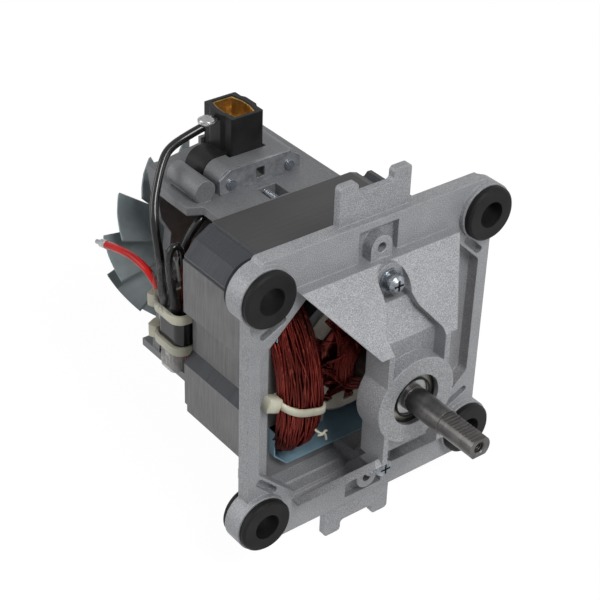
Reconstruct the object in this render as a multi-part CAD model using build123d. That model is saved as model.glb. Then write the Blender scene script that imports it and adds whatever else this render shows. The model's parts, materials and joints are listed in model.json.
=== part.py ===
from build123d import *
import math
import os

# Universal motor with two cast brackets, a laminated stator and a carbon brush rotor.
# The shaft lies along Y with its driven end at -Y, +Z is up.
# The origin is on the shaft axis, in the plane of the front faces of the four rubber grommets.

# Grommets and front frame
grommet_pitch = 100.0
grommet_face_y = 0.0
grommet_flange = 2.8
grommet_radius = 10.8
grommet_neck_radius = 7.9
grommet_hole_radius = 5.25
neck_gap = 0.1
boss_radius = 11.5
frame_back_y = 11.0
frame_thick = 6.0
frame_half_wide = 55.5
frame_half_high = 63.0
window_half_wide = 50.5
window_half_high = 44.3
thread_rise = 4.6
tab_half_wide = 16.0
tab_tip_z = 78.8
tab_notch_half = 8.0
tab_notch_z = 74.0
tab_thick = 3.0

# Sloping apron and bearing hub of the front bracket
hub_face_y = -20.9
hub_radius = 17.6
hub_half_wide = 14.2
hub_end_z = 24.0
hub_opening_radius = 10.5
hub_lip = 2.0
shelf_y = 0.5
shelf_z = 47.7
apron_thick = 3.0
apron_left = 38.0
apron_right = 36.0
pocket_depth = 4.0
pocket_radius = 6.5
hub_wall = 2.3

# Stator stack
stack_front_y = 16.5
stack_length = 45.0
stator_half = 45.0
slot_half = 37.5
pole_half = 19.5
bore_radius = 27.2
pole_tip = 3.3
pole_gap_half = 12.0
recess_depth = 4.0
seat_ledge = 1.5
seat_overlap = 1.5
seat_gap = 0.3
skirt_wall = 5.3
skirt_open = 34.0

# Field coils and slot liners
liner_thick = 0.4
liner_overhang = 3.2
coil_gap = 0.5
window_air = 10.0
coil_in_x = 21.5
coil_half_z = 36.5
coil_front_depth = 11.2
coil_back_out_x = 39.0
end_turn_gap = 2.2
coil_corner = 4.4

# Long screws through the stack
screw_z = 41.5
screw_radius = 2.0
screw_hole_gap = 0.25
screw_seat_y = -1.8
flat_washer_thick = 1.0
flat_washer_radius = 4.6
spring_washer_thick = 1.4
spring_washer_radius = 3.7
screw_head_radius = 3.9
screw_head_high = 3.3
screw_tip_y = 76.0

# Shaft
shaft_front_radius = 5.0
shaft_flatted_radius = 4.65
shaft_groove_wide = 1.4
shaft_groove_radius = 4.5
shaft_mid_radius = 6.0
shaft_back_radius = 4.0
shaft_tip_y = -54.5
flat_length = 17.2
flat_across = 7.3
rib_count = 10
rib_pitch = 1.55
tip_hole_radius = 2.1
tip_hole_depth = 14.0

# Bearings
front_bearing_radius = 15.0
front_bearing_wide = 9.0
wave_washer_thick = 0.6
rear_bearing_radius = 11.0
rear_bearing_wide = 7.0
rear_bearing_y = 103.5
ball_gap = 0.03

# Armature and commutator
core_radius = 26.5
core_short = 1.0
core_slots = 12
slot_wide = 5.0
slot_mouth = 2.0
disc_thick = 0.8
winding_radius = 19.6
winding_front_depth = 11.0
winding_back_depth = 14.0
commutator_radius = 12.5
commutator_inner = 8.5
commutator_y = 84.0
commutator_length = 18.0
riser_radius = 14.2
riser_thick = 1.2
bar_count = 24

# Fan
fan_radius = 40.0
fan_hub_radius = 13.0
fan_front_y = 115.0
fan_depth = 13.0
fan_blades = 13
blade_thick = 1.1
blade_root_out = 3.4
blade_tip_out = 7.6
blade_start = 124.6

# Rear bracket
plate_half_wide = 28.5
plate_thick = 3.5
plate_end_y = 118.0
plate_short_y = 99.0
ear_out_x = 34.0
ear_front_y = 72.0
ear_back_y = 95.0
seat_flange = 4.0
window_side = 8.8
window_y = 62.6
wall_front_y = 106.0
wall_thick = 5.0
rear_hub_wall = 3.5
stub_radius = 4.4
stub_x = -25.9
saddle_front_y = 76.2
saddle_back_y = 104.5
saddle_half = 19.0
saddle_top_z = 54.3
saddle_shoulder = 6.0

# Brush gear
brush_y = 93.1
holder_half_x = 7.4
holder_long = 18.8
holder_top_z = 69.7
holder_low_z = 17.0
holder_rib = 1.0
brush_half_x = 3.9
brush_half_y = 7.0
brush_long = 27.0
brush_air = 0.3
tube_gap = 0.25
tube_thick = 0.6
tube_bulge = 1.3
cap_drop = 8.0
cap_thick = 1.2
spring_wire = 0.45
spring_radius = 2.7
spring_turns = 6
holder_plate_thick = 1.0
holder_plate_half = 18.9
holder_plate_top_z = 54.2
rivet_x = 13.7
rivet_radius = 1.7
terminal_radius = 3.7
terminal_thick = 0.9
terminal_z = 66.9
terminal_x = -12.2

# Leads, sleeve, tape and ties at the rear left coil
lead_radius = 1.75
red_radius = 1.55
field_radius = 1.6
loop_radius = 1.3
sleeve_x = -45.8
sleeve_y = 72.0
sleeve_half_x = 3.2
sleeve_half_y = 6.3
sleeve_top_z = 30.0
sleeve_low_z = 7.0
tape_low_z = -7.4
tape_top_z = 2.8
tie_top_z = 4.9
tie_low_z = -9.5
clear_low_z = -22.0
bundle_out_x = 46.5
bundle_back_y = 79.0
tie_wide = 3.6
tie_thick = 1.3
tie_gap = 0.2
rest_gap = 0.2

# Sizes worked out from the ones above
half_pitch = grommet_pitch / 2
boss_front_y = grommet_face_y + grommet_flange
frame_front_y = frame_back_y - frame_thick
tab_front_y = frame_back_y - tab_thick
stack_back_y = stack_front_y + stack_length
hub_back_y = hub_face_y + hub_lip + wave_washer_thick + front_bearing_wide + 0.9
bearing_y = hub_face_y + hub_lip + wave_washer_thick
apron_slope = (shelf_z - hub_end_z) / (shelf_y - hub_face_y)
plate_top_z = stator_half - 0.2
plate_low_z = plate_top_z - plate_thick
coil_out_x = window_half_wide - window_air
coil_front_y = stack_front_y - coil_gap - coil_front_depth
coil_back_y = stack_back_y + coil_gap + coil_front_depth
core_front_y = stack_front_y + core_short
core_back_y = stack_back_y - core_short
wall_back_y = wall_front_y + wall_thick
rear_hub_radius = rear_bearing_radius + rear_hub_wall
fan_back_y = fan_front_y + fan_depth
bundle_front_y = stack_back_y + end_turn_gap - 1.2
tube_half_x = brush_half_x + tube_gap + tube_thick
tube_half_y = brush_half_y + tube_gap + tube_thick
brush_low_z = commutator_radius + brush_air
brush_top_z = brush_low_z + brush_long
cap_z = holder_top_z - cap_drop
tube_low_z = holder_low_z
holder_front_y = brush_y - holder_long / 2
holder_back_y = brush_y + holder_long / 2
shaft_end_y = fan_back_y + 2.0


# Basic shapes
def prism_y(points, y0, y1):
    face = Face(Wire.make_polygon([Vector(x, y0, z) for x, z in points]))
    return Solid.extrude(face, Vector(0, y1 - y0, 0))


def prism_x(points, x0, x1):
    face = Face(Wire.make_polygon([Vector(x0, y, z) for y, z in points]))
    return Solid.extrude(face, Vector(x1 - x0, 0, 0))


def prism_z(points, z0, z1):
    face = Face(Wire.make_polygon([Vector(x, y, z0) for x, y in points]))
    return Solid.extrude(face, Vector(0, 0, z1 - z0))


def rounded_y(points, radius, y0, y1):
    line = FilletPolyline(*[(x, y0, z) for x, z in points], radius=radius, close=True)
    return Solid.extrude(Face(Wire(line.edges())), Vector(0, y1 - y0, 0))


def rounded_z(points, radius, z0, z1):
    line = FilletPolyline(*[(x, y, z0) for x, y in points], radius=radius, close=True)
    return Solid.extrude(Face(Wire(line.edges())), Vector(0, 0, z1 - z0))


def rod_y(radius, y0, y1, x=0.0, z=0.0):
    return Pos(x, (y0 + y1) / 2, z) * Rot(90, 0, 0) * Cylinder(radius, y1 - y0)


def ring_y(outer, inner, y0, y1, x=0.0, z=0.0):
    return rod_y(outer, y0, y1, x, z) - rod_y(inner, y0 - 1, y1 + 1, x, z)


def block(x0, x1, y0, y1, z0, z1):
    return Pos((x0 + x1) / 2, (y0 + y1) / 2, (z0 + z1) / 2) * Box(x1 - x0, y1 - y0, z1 - z0)


def corners(x0, x1, y0, y1):
    return [(x0, y0), (x1, y0), (x1, y1), (x0, y1)]


def half_turn(shape):
    return shape.rotate(Axis.Y, 180)


def about_y(shape, angle):
    return shape.rotate(Axis.Y, angle)


def turned_y(points):
    face = Face(Wire.make_polygon([Vector(r, y, 0) for r, y in points]))
    return Solid.revolve(face, 360, Axis.Y)


# Front bracket
def frame_opening():
    half_w = window_half_wide
    half_h = window_half_high
    points = [(-half_w, -28.5), (-half_w, 23.4), (-28.5, half_h), (34.0, half_h)]
    points += [(-x, -z) for x, z in points]
    return rounded_y(points, 3.0, frame_front_y - 1, frame_back_y + 1)


def tab():
    tip = tab_tip_z
    outline = [(-tab_half_wide, frame_half_high - 6), (-tab_half_wide, tip), (-tab_notch_half, tip)]
    outline += [(-tab_notch_half, tab_notch_z), (tab_notch_half, tab_notch_z), (tab_notch_half, tip)]
    outline += [(tab_half_wide, tip), (tab_half_wide, frame_half_high - 6)]
    return rounded_y(outline, 1.6, tab_front_y, frame_back_y)


def apron_profile(depth):
    run = math.hypot(shelf_y - hub_face_y, shelf_z - hub_end_z)
    in_y = depth * (shelf_z - hub_end_z) / run
    in_z = depth * (shelf_y - hub_face_y) / run
    top = (shelf_y, shelf_z)
    low = (hub_face_y, hub_end_z)
    inner_low = (low[0] + in_y, low[1] - in_z)
    inner_top = (top[0] + in_y, top[1] - in_z)
    return [(frame_front_y + 1, shelf_z), top, low, inner_low, inner_top, (frame_front_y + 1, inner_top[1])]


def apron():
    sheet = prism_x(apron_profile(apron_thick), -frame_half_wide, frame_half_wide)
    outline = [(-apron_left, shelf_z + 1), (apron_right, shelf_z + 1), (hub_half_wide, hub_end_z - 4)]
    outline += [(-hub_half_wide, hub_end_z - 4)]
    return sheet & prism_y(outline, hub_face_y - 1, frame_back_y)


def pocket_floor():
    base = prism_x(apron_profile(apron_thick + pocket_depth), -hub_half_wide, hub_half_wide)
    half = pocket_radius + hub_wall
    outline = [(-half, shelf_z), (half, shelf_z), (half, screw_z - 5), (hub_half_wide, hub_end_z + 4)]
    outline += [(hub_half_wide, hub_end_z - 6), (-hub_half_wide, hub_end_z - 6)]
    outline += [(-hub_half_wide, hub_end_z + 4), (-half, screw_z - 5)]
    return base & prism_y(outline, hub_face_y - 1, frame_back_y)


def pocket():
    step_z = screw_z - pocket_radius
    step_y = shelf_y - (shelf_z - step_z) / apron_slope + pocket_depth * math.hypot(1, apron_slope) / apron_slope
    floor_y = hub_face_y + 6.0
    floor_z = step_z - (step_y - floor_y) * apron_slope
    side = [(hub_face_y - 9, shelf_z + 9), (screw_seat_y, shelf_z + 9), (screw_seat_y, step_z)]
    side += [(step_y, step_z), (floor_y, floor_z), (floor_y, 0), (hub_face_y - 9, 0)]
    half = hub_half_wide - hub_wall
    outline = [(-pocket_radius, screw_z), (-7.0, step_z + 1), (-half, 29.5), (-half, 4), (half, 4)]
    outline += [(half, 26.0), (6.0, step_z - 1), (5.2, step_z + 2.5), (pocket_radius, screw_z)]
    across = prism_y(outline, hub_face_y - 9, frame_back_y)
    across = across + rod_y(pocket_radius, hub_face_y - 9, frame_back_y, 0, screw_z)
    cut = prism_x(side, -hub_half_wide, hub_half_wide) & across
    return cut - rod_y(hub_radius, hub_face_y - 10, frame_back_y + 1)


def corner_slot(x, z, angle):
    y1 = frame_front_y + 3
    slot = rod_y(1.6, frame_front_y - 1, y1, -4.4) + rod_y(1.6, frame_front_y - 1, y1, 4.4)
    slot += block(-4.4, 4.4, frame_front_y - 1, y1, -1.6, 1.6)
    return slot.rotate(Axis.Y, angle).translate(Vector(x, 0, z))


def threaded_boss():
    base_z = shelf_z - 2
    centre_z = shelf_z + thread_rise
    arch = rod_y(4.8, frame_front_y - 2, frame_back_y - 2, 0, centre_z)
    return arch + block(-4.8, 4.8, frame_front_y - 2, frame_back_y - 2, base_z, centre_z)


def front_half():
    shape = apron() + pocket_floor()
    pillar = rod_y(pocket_radius, screw_seat_y, stack_front_y, 0, screw_z)
    pillar -= block(-9, 9, frame_front_y, stack_front_y + 1, screw_z - 9, slot_half + 0.6)
    shape += pillar
    shape += tab()
    centre_z = shelf_z + thread_rise
    shape += threaded_boss()
    shape -= pocket()
    shape -= rod_y(screw_radius + screw_hole_gap, hub_face_y, stack_front_y + 1, 0, screw_z)
    shape -= rod_y(2.0, frame_front_y - 3, frame_back_y - 3.5, 0, centre_z)
    return shape


def skirt():
    out = stator_half + seat_gap + skirt_wall
    inn = stator_half + seat_gap
    back = stack_front_y + seat_overlap
    body = rounded_y(corners(-out, out, -out, out), 8.0, frame_back_y - 1, back)
    ledge = stator_half - seat_ledge
    body -= rounded_y(corners(-ledge, ledge, -ledge, ledge), 4.0, frame_back_y - 2, back + 1)
    body -= rounded_y(corners(-inn, inn, -inn, inn), 2.0, stack_front_y, back + 1)
    body -= block(-out - 1, out + 1, frame_back_y, back + 1, -skirt_open, skirt_open)
    return body


def front_bracket():
    w = frame_half_wide
    h = frame_half_high
    side = half_pitch + 2
    outline = [(-w, -side), (-w, side), (-window_half_wide, h), (window_half_wide, h), (w, side)]
    outline += [(w, -side), (window_half_wide, -h), (-window_half_wide, -h)]
    shape = rounded_y(outline, 2.0, frame_front_y, frame_back_y) - frame_opening()
    for angle in (0, 180):
        pocket_cut = block(-9, 9, frame_front_y - 1, frame_front_y + 3, shelf_z, h - 3)
        shape -= about_y(pocket_cut, angle)
    for x, z, turn in ((-45.6, 34.6, -25), (45.6, -34.6, -25), (47.0, 35.6, 45), (-47.0, -35.6, 45)):
        shape -= corner_slot(x, z, turn)
    places = [(sx * half_pitch, sz * half_pitch) for sx in (-1, 1) for sz in (-1, 1)]
    for x, z in places:
        shape += rod_y(boss_radius, boss_front_y, frame_back_y, x, z)
    rim = skirt()
    for x, z in places:
        rim -= rod_y(boss_radius, frame_back_y, stack_front_y + 9, x, z)
    shape += rim
    upper = front_half()
    shape += upper
    shape += half_turn(upper)
    hub = rod_y(hub_radius, hub_face_y, hub_back_y)
    hub += block(-hub_half_wide, hub_half_wide, hub_face_y, hub_back_y, -hub_end_z, hub_end_z)
    hub -= pocket()
    hub -= half_turn(pocket())
    shape += hub
    shape -= rod_y(front_bearing_radius, hub_face_y + hub_lip, hub_back_y + 3)
    shape -= rod_y(hub_opening_radius, hub_face_y - 1, hub_back_y)
    for x, z in places:
        shape -= rod_y(grommet_neck_radius + neck_gap, boss_front_y - 1, frame_back_y + 1, x, z)
    return shape


def grommet(x, z):
    back_y = frame_back_y
    shape = rod_y(grommet_radius, grommet_face_y, boss_front_y, x, z)
    shape += rod_y(grommet_neck_radius, boss_front_y - 1, back_y + 1, x, z)
    shape += rod_y(grommet_radius, back_y, back_y + grommet_flange, x, z)
    rims = shape.edges().filter_by(GeomType.CIRCLE)
    rims = [e for e in rims if abs(e.radius - grommet_radius) < 0.01 and not boss_front_y - 0.1 < e.center().Y < back_y + 0.1]
    shape = chamfer(rims, 0.8)
    return shape - rod_y(grommet_hole_radius, -1, back_y + 9, x, z)


# Stator
def stator_outline():
    s = stator_half
    d = s - recess_depth
    points = [(-s, 33.2), (-s + 0.8, 33.7), (-s + 0.6, 34.6), (-39.6, 40.3), (-33.0, s - 0.6), (-32.2, s - 0.9)]
    points += [(-31.4, s), (33.0, s), (36.5, s - 1.2), (38.4, s - 3.8), (40.4, s - 4.0), (42.0, s - 2.4)]
    points += [(44.0, s - 2.6), (s, s - 4.0), (s, 13.9), (d, 9.3), (d, -5.5), (s, -10.0), (s, -36.0)]
    points += [(38.0, -s), (-37.0, -s), (-s + 1, -37.5), (-s + 1, -34.0), (-s, -33.0)]
    points += [(-s, -13.9), (-d, -9.3), (-d, 5.5), (-s, 10.0)]
    return points


def slot_outline(inset):
    a = slot_half - inset
    c = 6.0 - inset * 0.4
    return [(-a, pole_half), (-a, a - c), (-a + c, a), (a - c, a), (a, a - c), (a, pole_half)]


def stator_core():
    shape = prism_y(stator_outline(), stack_front_y, stack_back_y)
    slot = prism_y(slot_outline(0.0), stack_front_y - 1, stack_back_y + 1)
    slot -= rod_y(bore_radius + pole_tip, stack_front_y - 2, stack_back_y + 2)
    gap = block(-pole_gap_half, pole_gap_half, stack_front_y - 1, stack_back_y + 1, 0, slot_half)
    for angle in (0, 180):
        shape -= about_y(slot, angle)
        shape -= about_y(gap, angle)
        hole = rod_y(screw_radius + screw_hole_gap, stack_front_y - 1, stack_back_y + 1, 0, screw_z)
        shape -= about_y(hole, angle)
    return shape - rod_y(bore_radius, stack_front_y - 1, stack_back_y + 1)


def slot_liner():
    y0 = stack_front_y - liner_overhang
    y1 = stack_back_y + liner_overhang
    outer = prism_y(slot_outline(0.0), y0, y1)
    inner = prism_y(slot_outline(liner_thick), y0 - 1, y1 + 1)
    shape = outer - inner
    return shape - block(-60, 60, y0 - 2, y1 + 2, 0, pole_half + 1)


def field_coil():
    inset = liner_thick + coil_gap
    a = slot_half - inset
    y0 = coil_front_y + 2
    y1 = coil_back_y - 2
    points = [(-a, pole_half + 0.8), (-a, a - 5.5), (-a + 5.5, a), (-15.0, a), (-15.0, pole_half + 0.8)]
    upper = prism_y(points, y0, y1) - rod_y(bore_radius + pole_tip + coil_gap, y0 - 1, y1 + 1)
    lower = upper.mirror(Plane.XY)
    front = coil_end(coil_out_x, coil_front_y, stack_front_y - end_turn_gap)
    back = coil_end(coil_back_out_x, stack_back_y + end_turn_gap, coil_back_y)
    shape = upper + lower + front + back
    guard = prism_y(slot_outline(-0.2), y0, y1) - prism_y(slot_outline(liner_thick + 0.2), y0 - 1, y1 + 1)
    guard -= block(-60, 60, y0 - 2, y1 + 2, 0, pole_half + 0.8)
    reach = liner_overhang + 0.3
    for z in (1, -1):
        for start in (stack_front_y - reach, stack_back_y):
            ring = guard & block(-60, 60, start, start + reach, 0, 60)
            shape -= ring if z > 0 else ring.mirror(Plane.XY)
    return shape


def coil_end(out_x, y0, y1):
    h = coil_half_z
    points = [(-out_x, -h + 9), (-out_x, h - 9), (-out_x + 8, h), (-coil_in_x, h), (-coil_in_x, -h), (-out_x + 8, -h)]
    shape = prism_y(points, y0, y1)
    rims = shape.edges().filter_by(Axis.Y, reverse=True)
    return fillet(rims, coil_corner)


# Bearings
def bearing_parts(inner_radius, outer_radius, wide, y0, balls):
    ball = (outer_radius - inner_radius) * 0.225
    pitch = (outer_radius + inner_radius) / 2
    outer = ring_y(outer_radius, pitch + ball + ball_gap, y0, y0 + wide)
    inner = ring_y(pitch - ball - ball_gap, inner_radius, y0, y0 + wide)
    middle = y0 + wide / 2
    seeds = [about_y(Pos(pitch, middle, 0) * Sphere(ball), 360 * i / balls) for i in range(balls)]
    cage = ring_y(pitch + ball * 0.45, pitch - ball * 0.45, middle - ball * 1.05, middle + ball * 1.05)
    for i in range(balls):
        cage -= about_y(Pos(pitch, middle, 0) * Rot(0, 90, 0) * Cylinder(ball + 0.12, ball * 4), 360 * i / balls)
    return outer, inner, Compound(seeds), cage


# Shaft
def shaft():
    back_of_front = bearing_y + front_bearing_wide
    shoulder_y = shaft_tip_y + flat_length
    shape = rod_y(shaft_flatted_radius, shaft_tip_y, shoulder_y)
    shape += rod_y(shaft_front_radius, shoulder_y, back_of_front)
    shape -= ring_y(shaft_mid_radius, shaft_groove_radius, hub_face_y - 0.2, hub_face_y - 0.2 + shaft_groove_wide)
    shape += rod_y(shaft_mid_radius, back_of_front, rear_bearing_y)
    shape += rod_y(shaft_back_radius, rear_bearing_y, shaft_end_y)
    half = flat_across / 2
    for sign in (-1, 1):
        z0 = min(sign * half, sign * 9)
        z1 = max(sign * half, sign * 9)
        shape -= block(-9, 9, shaft_tip_y - 1, shoulder_y, z0, z1)
        for i in range(rib_count):
            y = shaft_tip_y + 1.2 + i * rib_pitch
            shape -= block(-9, 9, y, y + 0.6, min(sign * (half - 0.25), sign * 9), max(sign * (half - 0.25), sign * 9))
    shape -= rod_y(tip_hole_radius, shaft_tip_y - 1, shaft_tip_y + tip_hole_depth)
    mouth = turned_y([(0, shaft_tip_y - 0.1), (tip_hole_radius + 0.6, shaft_tip_y - 0.1), (0, shaft_tip_y + 2.6)])
    return shape - mouth


# Armature
def core_slot(extra):
    half = slot_wide / 2 - extra
    low = 15.5 + extra
    high = 22.4 - extra
    body = prism_y([(-half * 0.62, low), (half * 0.62, low), (half, high), (-half, high)], core_front_y - 20, core_back_y + 20)
    return body + rod_y(half * 0.62, core_front_y - 20, core_back_y + 20, 0, low)


def armature_core():
    shape = ring_y(core_radius, shaft_mid_radius, core_front_y, core_back_y)
    for i in range(core_slots):
        cut = core_slot(0.0)
        cut += block(-slot_mouth / 2, slot_mouth / 2, core_front_y - 1, core_back_y + 1, 20, core_radius + 2)
        shape -= about_y(cut, 360 * i / core_slots)
    return shape


def armature_disc(y0):
    shape = ring_y(core_radius - 1.2, shaft_mid_radius, y0, y0 + disc_thick)
    for i in range(core_slots):
        shape -= about_y(core_slot(0.0), 360 * i / core_slots)
    return shape


def armature_winding():
    inner = shaft_mid_radius + 0.6
    front = core_front_y - disc_thick
    back = core_back_y + disc_thick
    r = winding_radius
    nose = [(inner, front), (inner, front - 6.5), (inner + 3, front - winding_front_depth + 1)]
    nose += [(inner + 6, front - winding_front_depth), (r - 3.5, front - winding_front_depth + 2)]
    nose += [(r - 0.6, front - winding_front_depth + 5), (r, front - 2.5), (r + 0.6, front)]
    tail = [(inner, back), (r + 0.6, back), (r, back + 3), (r - 1, back + 9), (r - 4, back + winding_back_depth)]
    tail += [(commutator_radius + 1.2, commutator_y - 1.0), (commutator_inner + 0.6, commutator_y - 1.0)]
    tail += [(inner, commutator_y - 2.0)]
    shape = turned_y(nose) + turned_y(tail)
    bar = core_slot(0.15) & block(-5, 5, front - 0.5, back + 0.5, 0, 40)
    for i in range(core_slots):
        shape += about_y(bar, 360 * i / core_slots)
    return shape


def commutator_bars():
    step = 360 / bar_count
    half = math.radians(step / 2)
    bars = []
    y1 = commutator_y + commutator_length
    ring = turned_y([(commutator_inner, commutator_y), (riser_radius, commutator_y),
                     (riser_radius, commutator_y + riser_thick), (commutator_radius, commutator_y + riser_thick + 0.6),
                     (commutator_radius, y1), (commutator_inner, y1)])
    reach = riser_radius + 4
    gap = 0.35
    wedge_points = [(gap / math.sin(half) / 2, 0), (reach, (reach - gap / math.sin(half) / 2) * math.tan(half)),
                    (reach, -(reach - gap / math.sin(half) / 2) * math.tan(half))]
    wedge = prism_y(wedge_points, commutator_y - 1, y1 + 1)
    bar = ring & wedge
    for i in range(bar_count):
        bars.append(about_y(bar, step * i))
    return Compound([s for b in bars for s in b.solids()])


# Fan
def fan():
    shape = ring_y(fan_hub_radius, shaft_back_radius, fan_front_y + 2, fan_back_y - 3)
    shape += ring_y(shaft_back_radius + 3, shaft_back_radius, fan_front_y - 1, fan_back_y)
    shape -= ring_y(fan_hub_radius - 2, shaft_back_radius + 3.5, fan_front_y - 2, fan_back_y - 6)
    blade = fan_blade() & rod_y(fan_radius, fan_front_y - 2, fan_back_y + 2)
    for i in range(fan_blades):
        shape += about_y(blade, -blade_start - 360 * i / fan_blades)
    return shape


def fan_blade():
    sections = []
    for r, out, bow in ((fan_hub_radius - 1.0, blade_root_out, 0.6), (fan_radius + 1.0, blade_tip_out, 1.6)):
        t = blade_thick / 2
        line = [(fan_front_y, out), (fan_front_y + fan_depth * 0.3, out * 0.32 + bow),
                (fan_front_y + fan_depth * 0.65, -out * 0.34 + bow), (fan_back_y, -out)]
        points = [(y, z + t) for y, z in line] + [(y, z - t) for y, z in reversed(line)]
        sections.append(Wire.make_polygon([Vector(r, y, z) for y, z in points]))
    return Solid.make_loft(sections, True)


# Rear bracket
def saddle():
    s = saddle_half
    top = saddle_top_z
    outline = [(-s, plate_low_z), (-s, top), (s, top), (s, plate_low_z)]
    radii = saddle_shoulder
    line = FilletPolyline(*[(x, saddle_front_y, z) for x, z in outline], radius=[0.5, radii, radii, 0.5], close=True)
    body = Solid.extrude(Face(Wire(line.edges())), Vector(0, saddle_back_y - saddle_front_y, 0))
    body -= block(-2.6, 2.6, saddle_front_y - 1, saddle_front_y + 3.5, plate_top_z + 1.8, plate_top_z + 7.2)
    side_cut = block(-s - 1, -holder_half_x - 1.2, holder_front_y + 2.5, saddle_back_y + 1, plate_top_z, top + 1)
    return body - side_cut


def plate_outline():
    w = plate_half_wide
    return [(-w, stack_back_y), (-w, ear_front_y), (-ear_out_x, ear_front_y + 3), (-ear_out_x, ear_back_y),
            (-w, plate_short_y), (-w, wall_back_y), (-w + 8, wall_back_y), (w - 12, plate_end_y),
            (w, plate_end_y), (w, stack_back_y)]


def rear_half():
    shape = prism_z(plate_outline(), plate_low_z, plate_top_z)
    shape += block(-plate_half_wide, plate_half_wide, stack_back_y, stack_back_y + seat_flange, slot_half + 1.0, plate_top_z)
    shape += block(-6.5, 6.5, stack_back_y, screw_tip_y + 4, plate_low_z - 3.0, plate_low_z + 1)
    shape += saddle()
    shape += rod_y(stub_radius, saddle_front_y - 1.8, ear_back_y - 1, stub_x, plate_top_z + stub_radius)
    shape += block(stub_x - 2.4, stub_x + 2.4, saddle_front_y - 1.8, ear_back_y - 1, plate_top_z - 1, plate_top_z + 3)
    rib = [(wall_front_y + 1, plate_low_z + 1), (wall_front_y + 1, plate_low_z - 12), (wall_front_y - 9, plate_low_z + 1)]
    for x in (-16.0, 13.0):
        shape += prism_x(rib, x, x + 3)
    shape -= block(-window_side / 2, window_side / 2, window_y, window_y + window_side, screw_z - 8, plate_top_z + 1)
    shape -= holder_bore()
    shape -= rod_y(screw_radius + 0.03, stack_back_y - 1, screw_tip_y + 6, 0, screw_z)
    return shape


def rear_wall():
    t = plate_top_z
    w = plate_half_wide
    side = [(w, t), (24.0, 12.0), (21.0, -14.0), (25.5, -22.0), (w, -t)]
    outline = side + [(-x, -z) for x, z in side]
    shape = rounded_y(outline, 2.0, wall_front_y, wall_back_y)
    for angle in (0, 180):
        side = rounded_y([(-17.5, 26.0), (-9.0, 34.5), (11.0, 34.5), (17.0, 27.0), (10.0, 19.5), (-10.0, 19.5)], 3.0,
                         wall_front_y - 1, wall_back_y + 1)
        shape -= about_y(side, angle)
    return shape


def holder_bore():
    g = rest_gap
    x = holder_half_x + holder_rib + g
    return block(-x, x, holder_front_y - g, holder_back_y + g, 0, saddle_top_z + 9)


def rear_bracket():
    upper = rear_half()
    shape = rear_wall() + upper + half_turn(upper)
    shape += rod_y(rear_hub_radius, rear_bearing_y, wall_back_y + 1)
    shape -= rod_y(rear_bearing_radius, rear_bearing_y - 1, rear_bearing_y + rear_bearing_wide)
    return shape - rod_y(rear_bearing_radius - 3, rear_bearing_y, wall_back_y + 5)


# Brush gear, made for the top and turned over for the bottom
def tube_section(grow):
    x = tube_half_x - tube_thick + grow
    y = tube_half_y - tube_thick + grow
    b = x + tube_bulge
    return [(-x, -y), (x, -y), (b, -2.5), (b, 2.5), (x, y), (-x, y), (-b, 2.5), (-b, -2.5)]


def shifted(points):
    return [(x, y + brush_y) for x, y in points]


def brush_holder():
    x = holder_half_x
    rib = holder_half_x + holder_rib
    long = holder_long / 2
    outline = [(-x, -long), (x, -long), (x, -5.0), (rib, -3.2), (rib, 3.6), (x, 5.4), (x, long), (-x, long)]
    outline += [(-x, 5.4), (-rib, 3.6), (-rib, -3.2), (-x, -5.0)]
    shape = rounded_z(shifted(outline), 0.7, holder_low_z, holder_top_z)
    foot = block(-saddle_half, -x + 1, holder_front_y + 3.2, holder_back_y - 4, plate_top_z, saddle_top_z)
    edge = foot.edges().filter_by(Axis.Y).sort_by(Axis.X)[:2].sort_by(Axis.Z)[-1]
    shape += fillet(edge, 7.0)
    shape += block(terminal_x + 4, -x + 0.5, brush_y - 1.6, brush_y + 1.6, terminal_z - 2.4, terminal_z - 0.5)
    return shape - prism_z(shifted(tube_section(tube_thick)), holder_low_z - 1, holder_top_z + 1)


def brush_tube():
    shape = prism_z(shifted(tube_section(tube_thick)), tube_low_z, holder_top_z - 0.4)
    return shape - prism_z(shifted(tube_section(0.0)), tube_low_z - 1, holder_top_z + 1)


def brush_cap():
    shape = prism_z(shifted(tube_section(-0.05)), cap_z, cap_z + cap_thick)
    return shape - block(-0.8, 0.8, brush_y - 4.5, brush_y + 4.5, cap_z - 1, cap_z + cap_thick + 1)


def carbon_brush():
    shape = block(-brush_half_x, brush_half_x, brush_y - brush_half_y, brush_y + brush_half_y, 0, brush_top_z)
    shape -= rod_y(commutator_radius + brush_air, brush_y - 20, brush_y + 20)
    return shape - block(-9, 9, brush_y - 20, brush_y + 20, -1, brush_low_z - 3.5)


def brush_spring():
    low = brush_top_z + spring_wire
    high = cap_z - spring_wire
    count = spring_turns * 8
    points = []
    for i in range(count + 1):
        turn = 2 * math.pi * i / 8
        points.append(Vector(spring_radius * math.cos(turn), brush_y + spring_radius * math.sin(turn),
                             low + (high - low) * i / count))
    path = Wire(Polyline(*points).edges())
    face = Plane(origin=points[0], z_dir=points[1] - points[0]) * RegularPolygon(spring_wire, 5)
    return sweep(face, path, transition=Transition.RIGHT)


def holder_plate():
    half = holder_plate_half
    top = holder_plate_top_z
    y0 = saddle_front_y - holder_plate_thick
    outline = [(-half, plate_top_z), (-half, top - 3.3), (-half + 5, top), (half - 5, top), (half, top - 3.3), (half, plate_top_z)]
    shape = rounded_y(outline, 1.2, y0, saddle_front_y)
    shape -= block(-2.0, 2.0, y0 - 1, saddle_front_y + 1, plate_top_z + 2.4, plate_top_z + 6.6)
    for x in (-rivet_x, rivet_x):
        shape -= rod_y(rivet_radius, y0 - 1, saddle_front_y + 1, x, plate_top_z + 3.4)
    return shape


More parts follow.
